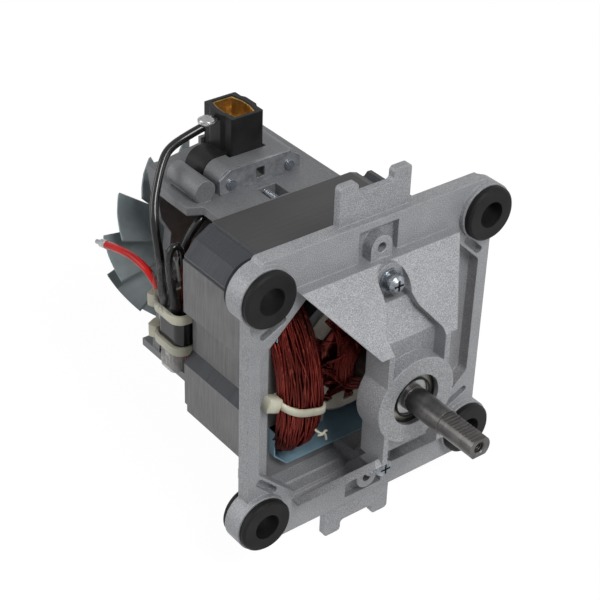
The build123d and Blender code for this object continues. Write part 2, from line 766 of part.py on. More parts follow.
def rivets():
    y0 = saddle_front_y - holder_plate_thick
    pieces = []
    for x in (-rivet_x, rivet_x):
        head = rod_y(rivet_radius + 0.5, y0 - 0.7, y0, x, plate_top_z + 3.4)
        pieces.append(head + rod_y(rivet_radius, y0 - 0.1, saddle_front_y, x, plate_top_z + 3.4))
    return pieces


def terminal():
    disc = Pos(terminal_x, brush_y, terminal_z) * Cylinder(terminal_radius, terminal_thick)
    disc += block(terminal_x, -holder_half_x - holder_rib, brush_y - 1.4, brush_y + 1.4,
                  terminal_z - terminal_thick / 2, terminal_z + terminal_thick / 2)
    return disc


# Leads, sleeve, tape and ties
def cord(points, radius, name):
    path = [Vector(*p) for p in points]
    radii = []
    for a, b, c in zip(path, path[1:], path[2:]):
        turn = math.radians((b - a).get_angle(c - b))
        radii.append(0.45 * min((b - a).length, (c - b).length) / math.tan(turn / 2))
    line = Wire(FilletPolyline(*path, radius=radii).edges())
    face = Face(Wire.make_circle(radius, Plane(origin=line @ 0, z_dir=line % 0)))
    tube = Solid.sweep(face, line)
    print(name, "radii", [round(r, 1) for r in radii], "length", round(line.length, 1),
          "volume", round(tube.volume, 1), "expected", round(math.pi * radius ** 2 * line.length, 1))
    return tube


def stadium(x0, x1, y0, y1, radius, z0, z1):
    return rounded_z(corners(x0, x1, y0, y1), radius, z0, z1)


def heat_shrink():
    x = sleeve_half_x
    y = sleeve_half_y
    body = stadium(sleeve_x - x, sleeve_x + x, sleeve_y - y, sleeve_y + y, x - 0.2, sleeve_low_z, sleeve_top_z)
    return body


def coil_section(grow, z0, z1):
    return stadium(-coil_back_out_x - grow, -coil_in_x + grow, stack_back_y + end_turn_gap - grow, coil_back_y + grow,
                   coil_corner, z0, z1)


def tape_wrap():
    body = stadium(-bundle_out_x, -coil_in_x + 0.9, bundle_front_y, bundle_back_y, 4.0, tape_low_z, tape_top_z)
    return body - coil_section(rest_gap, tape_low_z - 1, tape_top_z + 1)


def rear_tie(z):
    g = tie_gap
    band = tie_band(-bundle_out_x - g, -coil_in_x + 0.2 + g, bundle_front_y + 0.6, bundle_back_y + g, z, 3.6)
    return band + tie_head(-bundle_out_x + 2.4, bundle_back_y + tie_thick + 1.8, z, 25)


def clear_sleeve():
    x = sleeve_half_x - 0.6
    y = sleeve_half_y - 1.2
    body = stadium(sleeve_x - x + 2, sleeve_x + x + 2, sleeve_y - y, sleeve_y + y, x - 0.2, clear_low_z, tape_low_z - 0.1)
    return body - coil_section(rest_gap, clear_low_z - 1, tape_top_z)


def tie_band(x0, x1, y0, y1, z, radius):
    t = tie_thick
    half = tie_wide / 2
    shape = stadium(x0 - t, x1 + t, y0 - t, y1 + t, radius + t, z - half, z + half)
    return shape - stadium(x0, x1, y0, y1, radius, z - half - 1, z + half + 1)


def tie_head(x, y, z, angle):
    head = block(-2.9, 2.9, -2.4, 2.4, -2.7, 2.7)
    head = chamfer(head.edges().filter_by(Axis.Z), 0.8)
    tail = block(-0.9, 0.9, -3.8, 0, -1.8, 1.8)
    return (head + tail).rotate(Axis.Z, angle).translate(Vector(x, y, z))


def front_tie():
    g = tie_gap
    z = -4.5
    back = stack_front_y - end_turn_gap + g
    band = tie_band(-coil_out_x - g, -coil_in_x + g, coil_front_y - g, back, z, coil_corner - 1)
    return band + tie_head(-coil_out_x - tie_thick - 2.4, coil_front_y + 1.8, z, -90)


def pan_head(z):
    y1 = screw_seat_y - flat_washer_thick - spring_washer_thick
    head = turned_y([(0, y1 - screw_head_high), (screw_head_radius - 1.6, y1 - screw_head_high),
                     (screw_head_radius - 0.3, y1 - screw_head_high + 1.2), (screw_head_radius, y1 - 0.8),
                     (screw_head_radius, y1), (0, y1)])
    for angle in (0, 90):
        cross = block(-2.3, 2.3, y1 - screw_head_high - 1, y1 - screw_head_high + 2.0, -0.45, 0.45)
        head -= about_y(cross, angle)
    return (head + rod_y(screw_radius, y1 - 0.2, screw_tip_y)).translate(Vector(0, 0, z))


def washers():
    y1 = screw_seat_y - flat_washer_thick
    flat = ring_y(flat_washer_radius, screw_radius + 0.2, y1, screw_seat_y, 0, screw_z)
    split = ring_y(spring_washer_radius, screw_radius + 0.15, y1 - spring_washer_thick, y1, 0, screw_z)
    split -= block(0, 9, y1 - spring_washer_thick - 1, y1 + 1, screw_z - 0.35, screw_z + 0.35)
    return flat, split


def wave_washer():
    y0 = hub_face_y + hub_lip
    return ring_y(front_bearing_radius - 0.4, front_bearing_radius - 2.6, y0, y0 + wave_washer_thick)


def bearing_shield():
    y0 = bearing_y + 0.5
    return ring_y(front_bearing_radius - 2.9, shaft_front_radius + 2.6, y0, y0 + 0.5)


def lead_paths():
    top = (terminal_x - 1.8, brush_y, terminal_z - 2.0)
    brush = [top, (-21.3, 94.0, 62.6), (-29.6, 93.6, 60.0), (-34.0, 91.4, 56.2), (-38.6, 87.9, 50.4),
             (-42.6, 84.2, 44.4), (-45.0, 79.8, 37.4), (-45.8, 76.4, 29.5), (-46.0, 74.8, 22.0), (-46.0, 74.6, 15.0)]
    field = [(-24.5, 75.0, 39.4), (-27.6, 74.7, 38.4), (-30.6, 74.6, 35.8), (-33.3, 74.6, 32.4), (-35.4, 74.6, 28.2),
             (-37.2, 74.2, 23.8), (-39.8, 73.6, 19.4), (-42.2, 73.2, 15.0)]
    loop = [(-44.2, 69.4, 12.0), (-45.2, 69.4, 18.0), (-46.0, 69.4, 24.0), (-46.1, 69.4, 29.0), (-45.4, 69.4, 32.6),
            (-43.2, 69.4, 34.4), (-41.0, 69.4, 32.6), (-40.3, 69.4, 29.0), (-40.6, 69.4, 24.5)]
    red = [(-46.4, 76.6, 13.0), (-47.2, 80.0, 17.4), (-47.6, 86.5, 19.4), (-48.0, 94.0, 19.6), (-48.6, 102.0, 18.4),
           (-49.0, 109.0, 16.6)]
    return brush, field, loop, red


def crimp(path):
    end = Vector(*path[-1])
    way = (end - Vector(*path[-2])).normalized()
    frame = Plane(origin=end, z_dir=way)
    barrel = Solid.extrude(Face(Wire.make_circle(red_radius + 0.15, frame)), way * 3.5)
    pin = Solid.extrude(Face(Wire.make_circle(red_radius - 0.6, frame)), way * 7.0)
    return barrel + pin


def build():
    parts = {}
    parts["front_bracket"] = front_bracket()
    names = ("top_left", "top_right", "bottom_left", "bottom_right")
    for name, (sx, sz) in zip(names, ((-1, 1), (1, 1), (-1, -1), (1, -1))):
        parts["grommet_" + name] = grommet(sx * half_pitch, sz * half_pitch)
    parts["stator_core"] = stator_core()
    parts["slot_liner_top"] = slot_liner()
    parts["slot_liner_bottom"] = half_turn(slot_liner())
    parts["field_coil_left"] = field_coil()
    parts["field_coil_right"] = half_turn(field_coil())
    flat, split = washers()
    parts["stack_screws"] = Compound([pan_head(screw_z), half_turn(pan_head(screw_z))])
    parts["flat_washers"] = Compound([flat, half_turn(flat)])
    parts["spring_washers"] = Compound([split, half_turn(split)])
    outer, inner, balls, cage = bearing_parts(shaft_front_radius, front_bearing_radius, front_bearing_wide, bearing_y, 8)
    outer -= rod_y(front_bearing_radius - 2.85, bearing_y - 1, bearing_y + 1.2)
    inner -= ring_y(front_bearing_radius, shaft_front_radius + 2.5, bearing_y - 1, bearing_y + 1.2)
    parts["front_bearing_outer"] = outer
    parts["front_bearing_inner"] = inner
    parts["front_bearing_balls"] = balls
    parts["front_bearing_cage"] = cage
    parts["front_bearing_shield"] = bearing_shield()
    parts["wave_washer"] = wave_washer()
    outer, inner, balls, cage = bearing_parts(shaft_back_radius, rear_bearing_radius, rear_bearing_wide, rear_bearing_y, 7)
    parts["rear_bearing_outer"] = outer
    parts["rear_bearing_inner"] = inner
    parts["rear_bearing_balls"] = balls
    parts["rear_bearing_cage"] = cage
    parts["shaft"] = shaft()
    parts["armature_core"] = armature_core()
    parts["armature_end_discs"] = Compound([armature_disc(core_front_y - disc_thick), armature_disc(core_back_y)])
    parts["armature_winding"] = armature_winding()
    parts["commutator_bars"] = commutator_bars()
    parts["commutator_core"] = ring_y(commutator_inner, shaft_mid_radius, commutator_y - 1, commutator_y + commutator_length)
    parts["fan"] = fan()
    parts["rear_bracket"] = rear_bracket()
    turned = {"brush_holder": brush_holder(), "brush_tube": brush_tube(), "brush_cap": brush_cap(),
              "carbon_brush": carbon_brush(), "brush_spring": brush_spring(), "holder_plate": holder_plate(),
              "brush_terminal": terminal()}
    for name, shape in turned.items():
        parts[name + "_top"] = shape
        parts[name + "_bottom"] = half_turn(shape)
    heads = rivets()
    parts["holder_rivets"] = Compound(heads + [half_turn(h) for h in heads])
    brush, field, loop, red = lead_paths()
    red_tube = cord(red, red_radius, "red lead")
    brush_tube_top = cord(brush, lead_radius, "brush lead")
    field_tube = cord(field, field_radius, "field lead")
    loop_tube = cord(loop, loop_radius, "loop lead")
    parts["red_lead"] = red_tube
    parts["red_lead_end"] = crimp(red)
    parts["brush_lead_top"] = brush_tube_top
    parts["brush_lead_bottom"] = half_turn(brush_tube_top)
    parts["field_lead"] = field_tube
    parts["loop_lead"] = loop_tube
    parts["heat_shrink_sleeve"] = heat_shrink() - red_tube - brush_tube_top - field_tube - loop_tube
    parts["heat_shrink_lower"] = half_turn(heat_shrink() - brush_tube_top)
    parts["coil_tape"] = tape_wrap()
    parts["clear_sleeve"] = clear_sleeve()
    parts["rear_tie_upper"] = rear_tie(tie_top_z)
    parts["rear_tie_lower"] = rear_tie(tie_low_z)
    parts["rear_tie_right"] = half_turn(rear_tie(tie_top_z))
    parts["front_coil_tie"] = front_tie()
    return parts


def main():
    os.makedirs("parts", exist_ok=True)
    for name, shape in build().items():
        export_step(shape, "parts/" + name + ".step")


if __name__ == "__main__":
    main()
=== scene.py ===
import json
import math
import random

import bpy
from bpy.props import FloatProperty, FloatVectorProperty, IntProperty, PointerProperty
from mathutils import Matrix, Vector, noise


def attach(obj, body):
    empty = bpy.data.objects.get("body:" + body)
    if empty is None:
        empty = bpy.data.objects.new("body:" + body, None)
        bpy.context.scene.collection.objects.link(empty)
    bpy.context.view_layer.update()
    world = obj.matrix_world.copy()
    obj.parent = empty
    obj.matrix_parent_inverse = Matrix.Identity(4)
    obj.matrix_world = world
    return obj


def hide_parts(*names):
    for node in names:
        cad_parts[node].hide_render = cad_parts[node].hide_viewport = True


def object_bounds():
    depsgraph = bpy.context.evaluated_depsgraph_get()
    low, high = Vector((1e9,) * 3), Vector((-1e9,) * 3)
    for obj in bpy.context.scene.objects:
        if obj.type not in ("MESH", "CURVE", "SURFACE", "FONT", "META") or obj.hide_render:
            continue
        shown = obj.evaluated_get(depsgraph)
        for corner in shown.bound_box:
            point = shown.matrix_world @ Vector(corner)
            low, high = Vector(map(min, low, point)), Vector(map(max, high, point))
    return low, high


bl_info = {
    "name": "Universal Motor",
    "version": (1, 0, 0),
    "blender": (4, 5, 0),
    "location": "View3D > Sidebar > Motor",
    "description": "Dresses the packed motor model with windings, leads, ties and finishes",
    "category": "Object",
}

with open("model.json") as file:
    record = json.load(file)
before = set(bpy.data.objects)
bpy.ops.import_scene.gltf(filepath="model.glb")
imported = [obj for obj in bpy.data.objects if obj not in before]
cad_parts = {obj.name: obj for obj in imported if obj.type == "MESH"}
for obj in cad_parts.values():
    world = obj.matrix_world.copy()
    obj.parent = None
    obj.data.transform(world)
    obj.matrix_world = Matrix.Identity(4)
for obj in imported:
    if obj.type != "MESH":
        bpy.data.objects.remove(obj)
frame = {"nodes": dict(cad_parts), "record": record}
NODES = frame["nodes"]
CAD_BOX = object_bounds()
MM = 0.001
EVEN = (1.0, 1.0, 1.0)


# Shader maths
class Value:
    """A shader socket that can be used in Python expressions."""

    def __init__(self, look, socket):
        self.look = look
        self.socket = socket

    def _is_wide(self, other):
        kinds = [self.socket.type]
        if isinstance(other, Value):
            kinds.append(other.socket.type)
        return any(kind in ("VECTOR", "RGBA") for kind in kinds)

    def _join(self, operation, first, second):
        if self._is_wide(second if first is self else first):
            return self.look.node("ShaderNodeVectorMath", {"operation": operation}, {0: first, 1: second})
        return self.look.node("ShaderNodeMath", {"operation": operation}, {0: first, 1: second})

    def __add__(self, other):
        return self._join("ADD", self, other)

    def __radd__(self, other):
        return self._join("ADD", other, self)

    def __sub__(self, other):
        return self._join("SUBTRACT", self, other)

    def __rsub__(self, other):
        return self._join("SUBTRACT", other, self)

    def __mul__(self, other):
        return self._join("MULTIPLY", self, other)

    def clamp(self):
        return self.look.node("ShaderNodeClamp", {}, {"Value": self})

    def fraction(self):
        return self.look.node("ShaderNodeMath", {"operation": "FRACT"}, {0: self})

    def floor(self):
        return self.look.node("ShaderNodeMath", {"operation": "FLOOR"}, {0: self})

    def step(self, low, high):
        settings = {"interpolation_type": "SMOOTHSTEP"}
        return self.look.node("ShaderNodeMapRange", settings, {"Value": self, "From Min": low, "From Max": high})


class Look:
    """A material being made, with its Principled shader."""

    def __init__(self, name):
        self.material = bpy.data.materials.new(name)
        self.material.use_nodes = True
        self.tree = self.material.node_tree
        self.shader = self.tree.nodes["Principled BSDF"]

    def node(self, kind, settings, values, output=None):
        made = self.tree.nodes.new(kind)
        for key, value in settings.items():
            setattr(made, key, value)
        for key, value in values.items():
            if isinstance(value, Value):
                self.tree.links.new(value.socket, made.inputs[key])
            elif isinstance(value, (int, float)) and made.inputs[key].type in ("VECTOR", "RGBA"):
                size = len(made.inputs[key].default_value)
                made.inputs[key].default_value = [value] * size
            else:
                made.inputs[key].default_value = value
        if output is not None:
            return Value(self, made.outputs[output])
        return Value(self, next(s for s in made.outputs if s.enabled))

    def set(self, **values):
        for key, value in values.items():
            socket = self.shader.inputs[key.replace("_", " ")]
            if isinstance(value, Value):
                self.tree.links.new(value.socket, socket)
            elif isinstance(value, tuple) and len(value) == 3 and socket.type == "RGBA":
                socket.default_value = (*value, 1.0)
            else:
                socket.default_value = value

    def place(self):
        return self.node("ShaderNodeTexCoord", {}, {}, "Object")

    def split(self, vector):
        made = self.node("ShaderNodeSeparateXYZ", {}, {"Vector": vector}).socket.node
        return [Value(self, made.outputs[i]) for i in range(3)]

    def noise(self, scale, detail, rough, stretch=EVEN, warp=0.0):
        where = self.place() * stretch if stretch != EVEN else self.place()
        values = {"Vector": where, "Scale": scale, "Detail": detail, "Roughness": rough, "Distortion": warp}
        return self.node("ShaderNodeTexNoise", {"noise_dimensions": "3D"}, values, 0)

    def cells(self, scale):
        values = {"Vector": self.place(), "Scale": scale, "Randomness": 1.0}
        return self.node("ShaderNodeTexVoronoi", {"feature": "F1"}, values, "Distance")

    def blend(self, factor, first, second):
        """A mix of two colours. Sockets 6 and 7 are the colour inputs of the mix node, and output 2 is its colour."""
        made = self.tree.nodes.new("ShaderNodeMix")
        made.data_type = "RGBA"
        for index, value in ((0, factor), (6, first), (7, second)):
            if isinstance(value, Value):
                self.tree.links.new(value.socket, made.inputs[index])
            elif isinstance(value, tuple):
                made.inputs[index].default_value = (*value, 1.0)
            else:
                made.inputs[index].default_value = value
        return Value(self, made.outputs[2])

    def soft_edge(self, radius):
        return self.node("ShaderNodeBevel", {"samples": 4}, {"Radius": radius}, "Normal")

    def edge_wear(self, soft):
        true = self.node("ShaderNodeNewGeometry", {}, {}, "Normal")
        dot = self.node("ShaderNodeVectorMath", {"operation": "DOT_PRODUCT"}, {0: soft, 1: true}, "Value")
        return (1.0 - dot).step(0.02, 0.22)

    def bump(self, height, strength, depth, soft=None):
        values = {"Height": height, "Strength": strength, "Distance": depth}
        if soft is not None:
            values["Normal"] = soft
        self.set(Normal=self.node("ShaderNodeBump", {}, values, "Normal"))


# Finishes
def tinted(colour, share, lift=0.0):
    """The colour made lighter or darker."""
    return tuple(min(1.0, c * share + lift) for c in colour)


def cast_alloy(name, pale, grit):
    look = Look(name)
    soft = look.soft_edge(0.6 * MM)
    speck = look.noise(2600.0, 2.0, 0.5)
    grain = look.noise(3200.0, 3.0, 0.6)
    cloud = look.noise(60.0, 3.0, 0.6)
    flow = look.noise(150.0, 4.0, 0.6, (1.0, 0.4, 1.6), 0.6)
    pits = look.cells(560.0).step(0.15, 0.05)
    base = look.blend(cloud.step(0.3, 0.72), tinted(pale, 0.9), tinted(pale, 1.06))
    base = look.blend(flow.step(0.45, 0.75) * 0.3, base, tinted(pale, 0.74))
    base = look.blend(speck.step(0.52, 0.66) * grit, base, tinted(pale, 1.5))
    base = look.blend(speck.step(0.48, 0.36) * grit, base, tinted(pale, 0.58))
    base = look.blend(pits * 0.35, base, tinted(pale, 0.45))
    base = look.blend(look.edge_wear(soft) * 0.4, base, tinted(pale, 1.7))
    look.set(Base_Color=base, Metallic=0.35, Roughness=0.44 + grain * 0.16 + cloud * 0.08)
    look.bump(speck * 0.8 + grain * 0.35 + flow * 0.6 - pits * 0.6, grit, 0.12 * MM, soft)
    return look.material


def sheet_stack(name, colour, per_metre, shine):
    look = Look(name)
    soft = look.soft_edge(0.25 * MM)
    where = look.split(look.place())
    facing = look.split(look.node("ShaderNodeNewGeometry", {}, {}, "Normal"))
    end = (facing[1] * facing[1]).step(0.5, 0.8)
    # Painted shade: faces that slant like the chamfer are given a dark blue-grey by the way they face.
    painted_chamfer_shade = (facing[2] * facing[2]).step(0.08, 0.2) * (facing[2] * facing[2]).step(0.92, 0.8)
    # Painted shade: faces that look straight up are darkened by the way they face.
    painted_top_shade = facing[2].step(0.88, 0.96)
    sheet = where[1] * per_metre
    line = (sheet.fraction() - 0.5) * (sheet.fraction() - 0.5)
    gap = line.step(0.12, 0.2) * (1.0 - end)
    tint = look.node("ShaderNodeTexWhiteNoise", {"noise_dimensions": "1D"}, {"W": sheet.floor()}, "Value")
    stain = look.noise(55.0, 4.0, 0.6, (1.0, 0.5, 1.3))
    grain = look.noise(2100.0, 3.0, 0.7, (0.05, 1.0, 0.05))
    base = look.blend(stain.step(0.32, 0.7), tinted(colour, 0.82), tinted(colour, 1.15))
    base = look.blend(tint * 0.5 * (1.0 - end), base, tinted(colour, 1.6))
    base = look.blend(grain.step(0.45, 0.7) * 0.4, base, tinted(colour, 1.6))
    # Painted shade on the slanted chamfer faces.
    base = look.blend(painted_chamfer_shade * 0.92, base, (0.019, 0.023, 0.032))
    # Painted shade on the faces that look up.
    base = look.blend(painted_top_shade * 0.85, base, (0.036, 0.035, 0.036))
    base = look.blend(grain.step(0.55, 0.3) * 0.35 * (1.0 - end), base, tinted(colour, 0.4))
    base = look.blend(gap * 0.6, base, tinted(colour, 0.35))
    look.set(Base_Color=base, Metallic=shine, Roughness=0.42 + tint * 0.12 + grain * 0.12 - end * 0.08)
    look.bump(grain * 0.25 - gap + tint * 0.4 * (1.0 - end), 0.7, 0.12 * MM, soft)
    return look.material


def enamelled_wire(name, colour, painted_glint_colour):
    look = Look(name)
    # Painted shade: dark patches laid over the turns.
    painted_shade_patch = look.noise(90.0, 2.0, 0.5, (1.0, 1.0, 0.4))
    # The streaks vary the roughness and bump, and also lay a painted highlight in the glint colour.
    ridges_and_painted_glint = look.noise(1100.0, 2.0, 0.5, (1.0, 1.0, 0.05))
    base = look.blend(painted_shade_patch.step(0.36, 0.6), tinted(colour, 0.28), colour)
    # Painted highlight: streaks of the glint colour over the wire.
    base = look.blend(ridges_and_painted_glint.step(0.5, 0.75) * 0.3, base, painted_glint_colour)
    look.set(Base_Color=base, Metallic=0.6, Roughness=0.22 + ridges_and_painted_glint * 0.06, Specular_IOR_Level=0.9)
    look.set(Specular_Tint=(1.0, 0.36, 0.30))
    look.bump(ridges_and_painted_glint, 0.2, 0.04 * MM)
    return look.material


def smooth_metal(name, colour, rough, stretch=EVEN, scale=1500.0, metal=0.9, edge=0.3, tarnish=0.7):
    look = Look(name)
    soft = look.soft_edge(edge * MM)
    lines = look.noise(scale, 3.0, 0.6, stretch)
    stain = look.noise(180.0, 4.0, 0.65)
    base = look.blend(stain.step(0.35, 0.7), tinted(colour, tarnish), colour)
    base = look.blend(lines.step(0.45, 0.8) * 0.35, base, tinted(colour, 1.4))
    base = look.blend(look.edge_wear(soft) * 0.35, base, tinted(colour, 1.6))
    look.set(Base_Color=base, Metallic=metal, Roughness=rough + lines * 0.14 + stain * 0.08)
    look.bump(lines, 0.3, 0.04 * MM, soft)
    return look.material


def moulded(name, colour, rough, coat=0.0, grain=900.0, dust=0.12, depth=0.05, edge=0.45, shine=0.4):
    look = Look(name)
    soft = look.soft_edge(edge * MM)
    fine = look.noise(grain, 3.0, 0.6)
    cloud = look.noise(60.0, 3.0, 0.55)
    specks = look.cells(700.0).step(0.14, 0.06)
    light = tinted(colour, 1.25, 0.01)
    base = look.blend(cloud.step(0.3, 0.72), tinted(colour, 0.82), light)
    base = look.blend(fine.step(0.5, 0.78) * dust, base, tinted(colour, 1.6, 0.05))
    base = look.blend(specks * dust * 0.8, base, tinted(colour, 0.6))
    look.set(Base_Color=base, Roughness=rough + fine * 0.12 + cloud * 0.08, Coat_Weight=coat, Coat_Roughness=0.12)
    look.set(Specular_IOR_Level=shine)
    look.bump(fine + cloud * 0.3, 0.35, depth * MM, soft)
    return look.material


def clear_film(name, colour, alpha, rough):
    look = Look(name)
    cloud = look.noise(260.0, 3.0, 0.6)
    crease = look.noise(420.0, 2.0, 0.5, (1.0, 1.0, 0.3), 1.2)
    base = look.blend(cloud.step(0.35, 0.7), colour, tinted(colour, 1.25))
    look.set(Base_Color=base, Roughness=rough + cloud * 0.1, Specular_IOR_Level=0.4)
    look.set(Alpha=(cloud * 0.2 + crease.step(0.52, 0.75) * 0.4 + alpha).clamp())
    look.bump(crease, 0.6, 0.25 * MM)
    return look.material


def make_looks():
    """Every finish by the name of its material slot."""
    looks = bpy.context.scene.motor_looks
    cast = tuple(looks.cast_colour)
    sheets_per_metre = 1333.0
    return {
        "cast_alloy": cast_alloy("cast_alloy", cast, 0.75),
        # Painted shade: the rear bracket is the same alloy as the front, darkened to 0.6.
        "cast_alloy_painted_shade": cast_alloy("cast_alloy_painted_shade", tinted(cast, 0.6), 0.4),
        "lamination_steel": sheet_stack("lamination_steel", tuple(looks.stack_colour), sheets_per_metre, 0.25),
        "enamelled_copper": enamelled_wire("enamelled_copper", tuple(looks.wire_colour), tuple(looks.wire_painted_highlight)),
        "rubber": moulded("rubber", (0.007, 0.007, 0.008), 0.45, 0.0, 1500.0, 0.1, 0.06, shine=0.16),
        "liner_sheet": moulded("liner_sheet", (0.20, 0.33, 0.41), 0.3, 0.2, 500.0, 0.1, 0.04, 0.1),
        "insulating_board": moulded("insulating_board", (0.50, 0.47, 0.40), 0.6, 0.0, 1300.0, 0.3, 0.06, 0.1),
        "zinc_steel": smooth_metal("zinc_steel", (0.34, 0.365, 0.40), 0.16, tarnish=0.5),
        "plate_steel": smooth_metal("plate_steel", (0.36, 0.37, 0.39), 0.32, metal=0.6, scale=700.0, tarnish=0.6),
        "bearing_steel": smooth_metal("bearing_steel", (0.36, 0.36, 0.36), 0.18, (6.0, 0.4, 6.0)),
        "shield_steel": smooth_metal("shield_steel", (0.34, 0.325, 0.28), 0.3),
        "shaft_steel": smooth_metal("shaft_steel", (0.15, 0.145, 0.142), 0.25, (0.3, 5.0, 0.3), 900.0, 0.85, 0.3, 0.6),
        "commutator_copper": smooth_metal("commutator_copper", (0.55, 0.26, 0.13), 0.25, (1.0, 6.0, 1.0)),
        "moulded_resin": moulded("moulded_resin", (0.05, 0.025, 0.015), 0.5),
        "grey_plastic": moulded("grey_plastic", tuple(looks.fan_colour), 0.4, 0.1, 700.0, 0.1, 0.03),
        "black_plastic": moulded("black_plastic", (0.008, 0.008, 0.009), 0.34, 0.0, 1100.0, 0.06, shine=0.16),
        "brass": smooth_metal("brass", (0.66, 0.43, 0.15), 0.2, (1.0, 1.0, 0.3), 500.0, 0.9, tarnish=0.45),
        "carbon": moulded("carbon", (0.03, 0.03, 0.032), 0.5, 0.0, 1800.0, 0.3),
        "spring_steel": smooth_metal("spring_steel", (0.4, 0.4, 0.42), 0.3),
        "tinned_steel": smooth_metal("tinned_steel", (0.50, 0.50, 0.51), 0.16, scale=700.0),
        "black_sleeve": moulded("black_sleeve", (0.003, 0.003, 0.003), 0.04, 0.0, 380.0, 0.02, 0.12, 0.1, 0.42),
        "woven_sleeve": moulded("woven_sleeve", (0.34, 0.33, 0.32), 0.7, 0.0, 2600.0, 0.6, 0.2, 0.1),
        "clear_sleeve": clear_film("clear_sleeve", (0.50, 0.48, 0.46), 0.42, 0.2),
        "shrink_film": clear_film("shrink_film", (0.12, 0.115, 0.115), -0.04, 0.1),
        "nylon": moulded("nylon", (0.60, 0.585, 0.46), 0.34, 0.2, 500.0, 0.08, 0.04, 0.3),
        "red_insulation": moulded("red_insulation", (0.60, 0.005, 0.003), 0.1, 0.0, 420.0, 0.0, 0.05, 0.1, 0.22),
    }


LOOKS = {}


def look_of(name):
    """A finish by its name. All are made when the first is asked for."""
    if not LOOKS:
        LOOKS.update(make_looks())
    return LOOKS[name]


# Mesh helpers
def round_angles(count):
    """Equal steps round a full turn, in radians."""
    return [2 * math.pi * k / count for k in range(count)]


def squared_off(value, power):
    """A sine or cosine made fuller, so that a ring with it has flatter sides."""
    return math.copysign(abs(value) ** power, value)


class Mesh:
    """Points and faces that are gathered into one piece."""

    def __init__(self):
        self.points = []
        self.faces = []

    def add(self, points, faces):
        base = len(self.points)
        self.points.extend(points)
        self.faces.extend([tuple(i + base for i in face) for face in faces])

    def shell(self, rings, closed=False):
        """A skin over rings of points, capped at both ends unless it closes on itself."""
        count = len(rings)
        sides = len(rings[0])
        faces = []
        for i in range(count if closed else count - 1):
            on = (i + 1) % count
            for k in range(sides):
                beside = (k + 1) % sides
                faces.append((i * sides + k, i * sides + beside, on * sides + beside, on * sides + k))
        if not closed:
            faces.append(tuple(range(sides))[::-1])
            faces.append(tuple((count - 1) * sides + k for k in range(sides)))
        self.add([p for ring in rings for p in ring], faces)

    def tube(self, path, radius, sides, closed=False):
        """A round tube along the path. The radius is one number or one for each point of the path."""
        rings = []
        count = len(path)
        side = None
        for i, point in enumerate(path):
            before = path[i - 1] if closed or i > 0 else point
            after = path[(i + 1) % count] if closed or i < count - 1 else point
            along = (after - before).normalized()
            if side is None:
                side = along.orthogonal().normalized()
            side = (side - along * side.dot(along)).normalized()
            other = along.cross(side)
            size = radius[i] if isinstance(radius, list) else radius
            rings.append([point + side * math.cos(t) * size + other * math.sin(t) * size for t in round_angles(sides)])
        self.shell(rings, closed)

    def piece(self, name, slot, body, stands_for=(), look=None):
        """Makes the gathered mesh an object of the scene."""
        data = bpy.data.meshes.new(name)
        data.from_pydata([tuple(p) for p in self.points], [], self.faces)
        data.update()
        data.validate()
        for face in data.polygons:
            face.use_smooth = True
        made = bpy.data.objects.new(name, data)
        bpy.context.scene.collection.objects.link(made)
        return settle(made, slot, body, stands_for, look)


def settle(made, slot, body, stands_for, look):
    """Gives an object its finish, chosen by its slot's name unless another look is named, and its body, and hides the
    solids that it stands for.
    """
    made.data.materials.append(look_of(look or slot))
    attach(made, body)
    if stands_for:
        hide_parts(*stands_for)
    return made


def mm(points):
    """Vectors in metres from places in millimetres."""
    return [Vector(p) * MM for p in points]


def rope(name, route, radius, slot, body, stands_for):
    """A smooth cord along a route given in millimetres."""
    data = bpy.data.curves.new(name, "CURVE")
    data.dimensions = "3D"
    spline = data.splines.new("NURBS")
    spline.points.add(len(route) - 1)
    for point, place in zip(spline.points, route):
        point.co = (*(Vector(place) * MM), 1.0)
    spline.order_u = 3
    spline.use_endpoint_u = True
    spline.resolution_u = 10
    data.bevel_depth = radius * MM
    data.bevel_resolution = 5
    data.use_fill_caps = True
    made = bpy.data.objects.new(name, data)
    bpy.context.scene.collection.objects.link(made)
    return settle(made, slot, body, stands_for, None)


def smooth_line(points, steps, closed=False):
    """Places on a smooth curve through the points, with the same number of steps between each two."""
    count = len(points)
    line = []
    for i in range(count if closed else count - 1):
        p0 = points[i - 1] if closed or i > 0 else points[0]
        p1 = points[i]
        p2 = points[(i + 1) % count]
        p3 = points[(i + 2) % count] if closed or i < count - 2 else points[-1]
        for s in range(steps):
            t = s / steps
            line.append(0.5 * ((2 * p1) + (p2 - p0) * t + (2 * p0 - 5 * p1 + 4 * p2 - p3) * t * t
                               + (3 * p1 - p0 - 3 * p2 + p3) * t * t * t))
    if not closed:
        line.append(points[-1])
    return line


# Sizes and colours that a user can change
class MotorLooks(bpy.types.PropertyGroup):
    cast_colour: FloatVectorProperty(
        name="Casting", description="Colour of the cast brackets", subtype="COLOR",
        default=(0.35, 0.355, 0.37), min=0, max=1)
    stack_colour: FloatVectorProperty(
        name="Stack", description="Colour of the laminated stator", subtype="COLOR",
        default=(0.19, 0.19, 0.193), min=0, max=1)
    wire_colour: FloatVectorProperty(
        name="Wire", description="Colour of the enamelled wire", subtype="COLOR",
        default=(0.12, 0.012, 0.009), min=0, max=1)
    # The colour of the painted highlight that is laid on the wire in streaks.
    wire_painted_highlight: FloatVectorProperty(
        name="Wire highlights", description="Colour of the wire where it shines", subtype="COLOR",
        default=(0.60, 0.12, 0.085), min=0, max=1)
    fan_colour: FloatVectorProperty(
        name="Fan", description="Colour of the plastic fan", subtype="COLOR",
        default=(0.29, 0.335, 0.345), min=0, max=1)


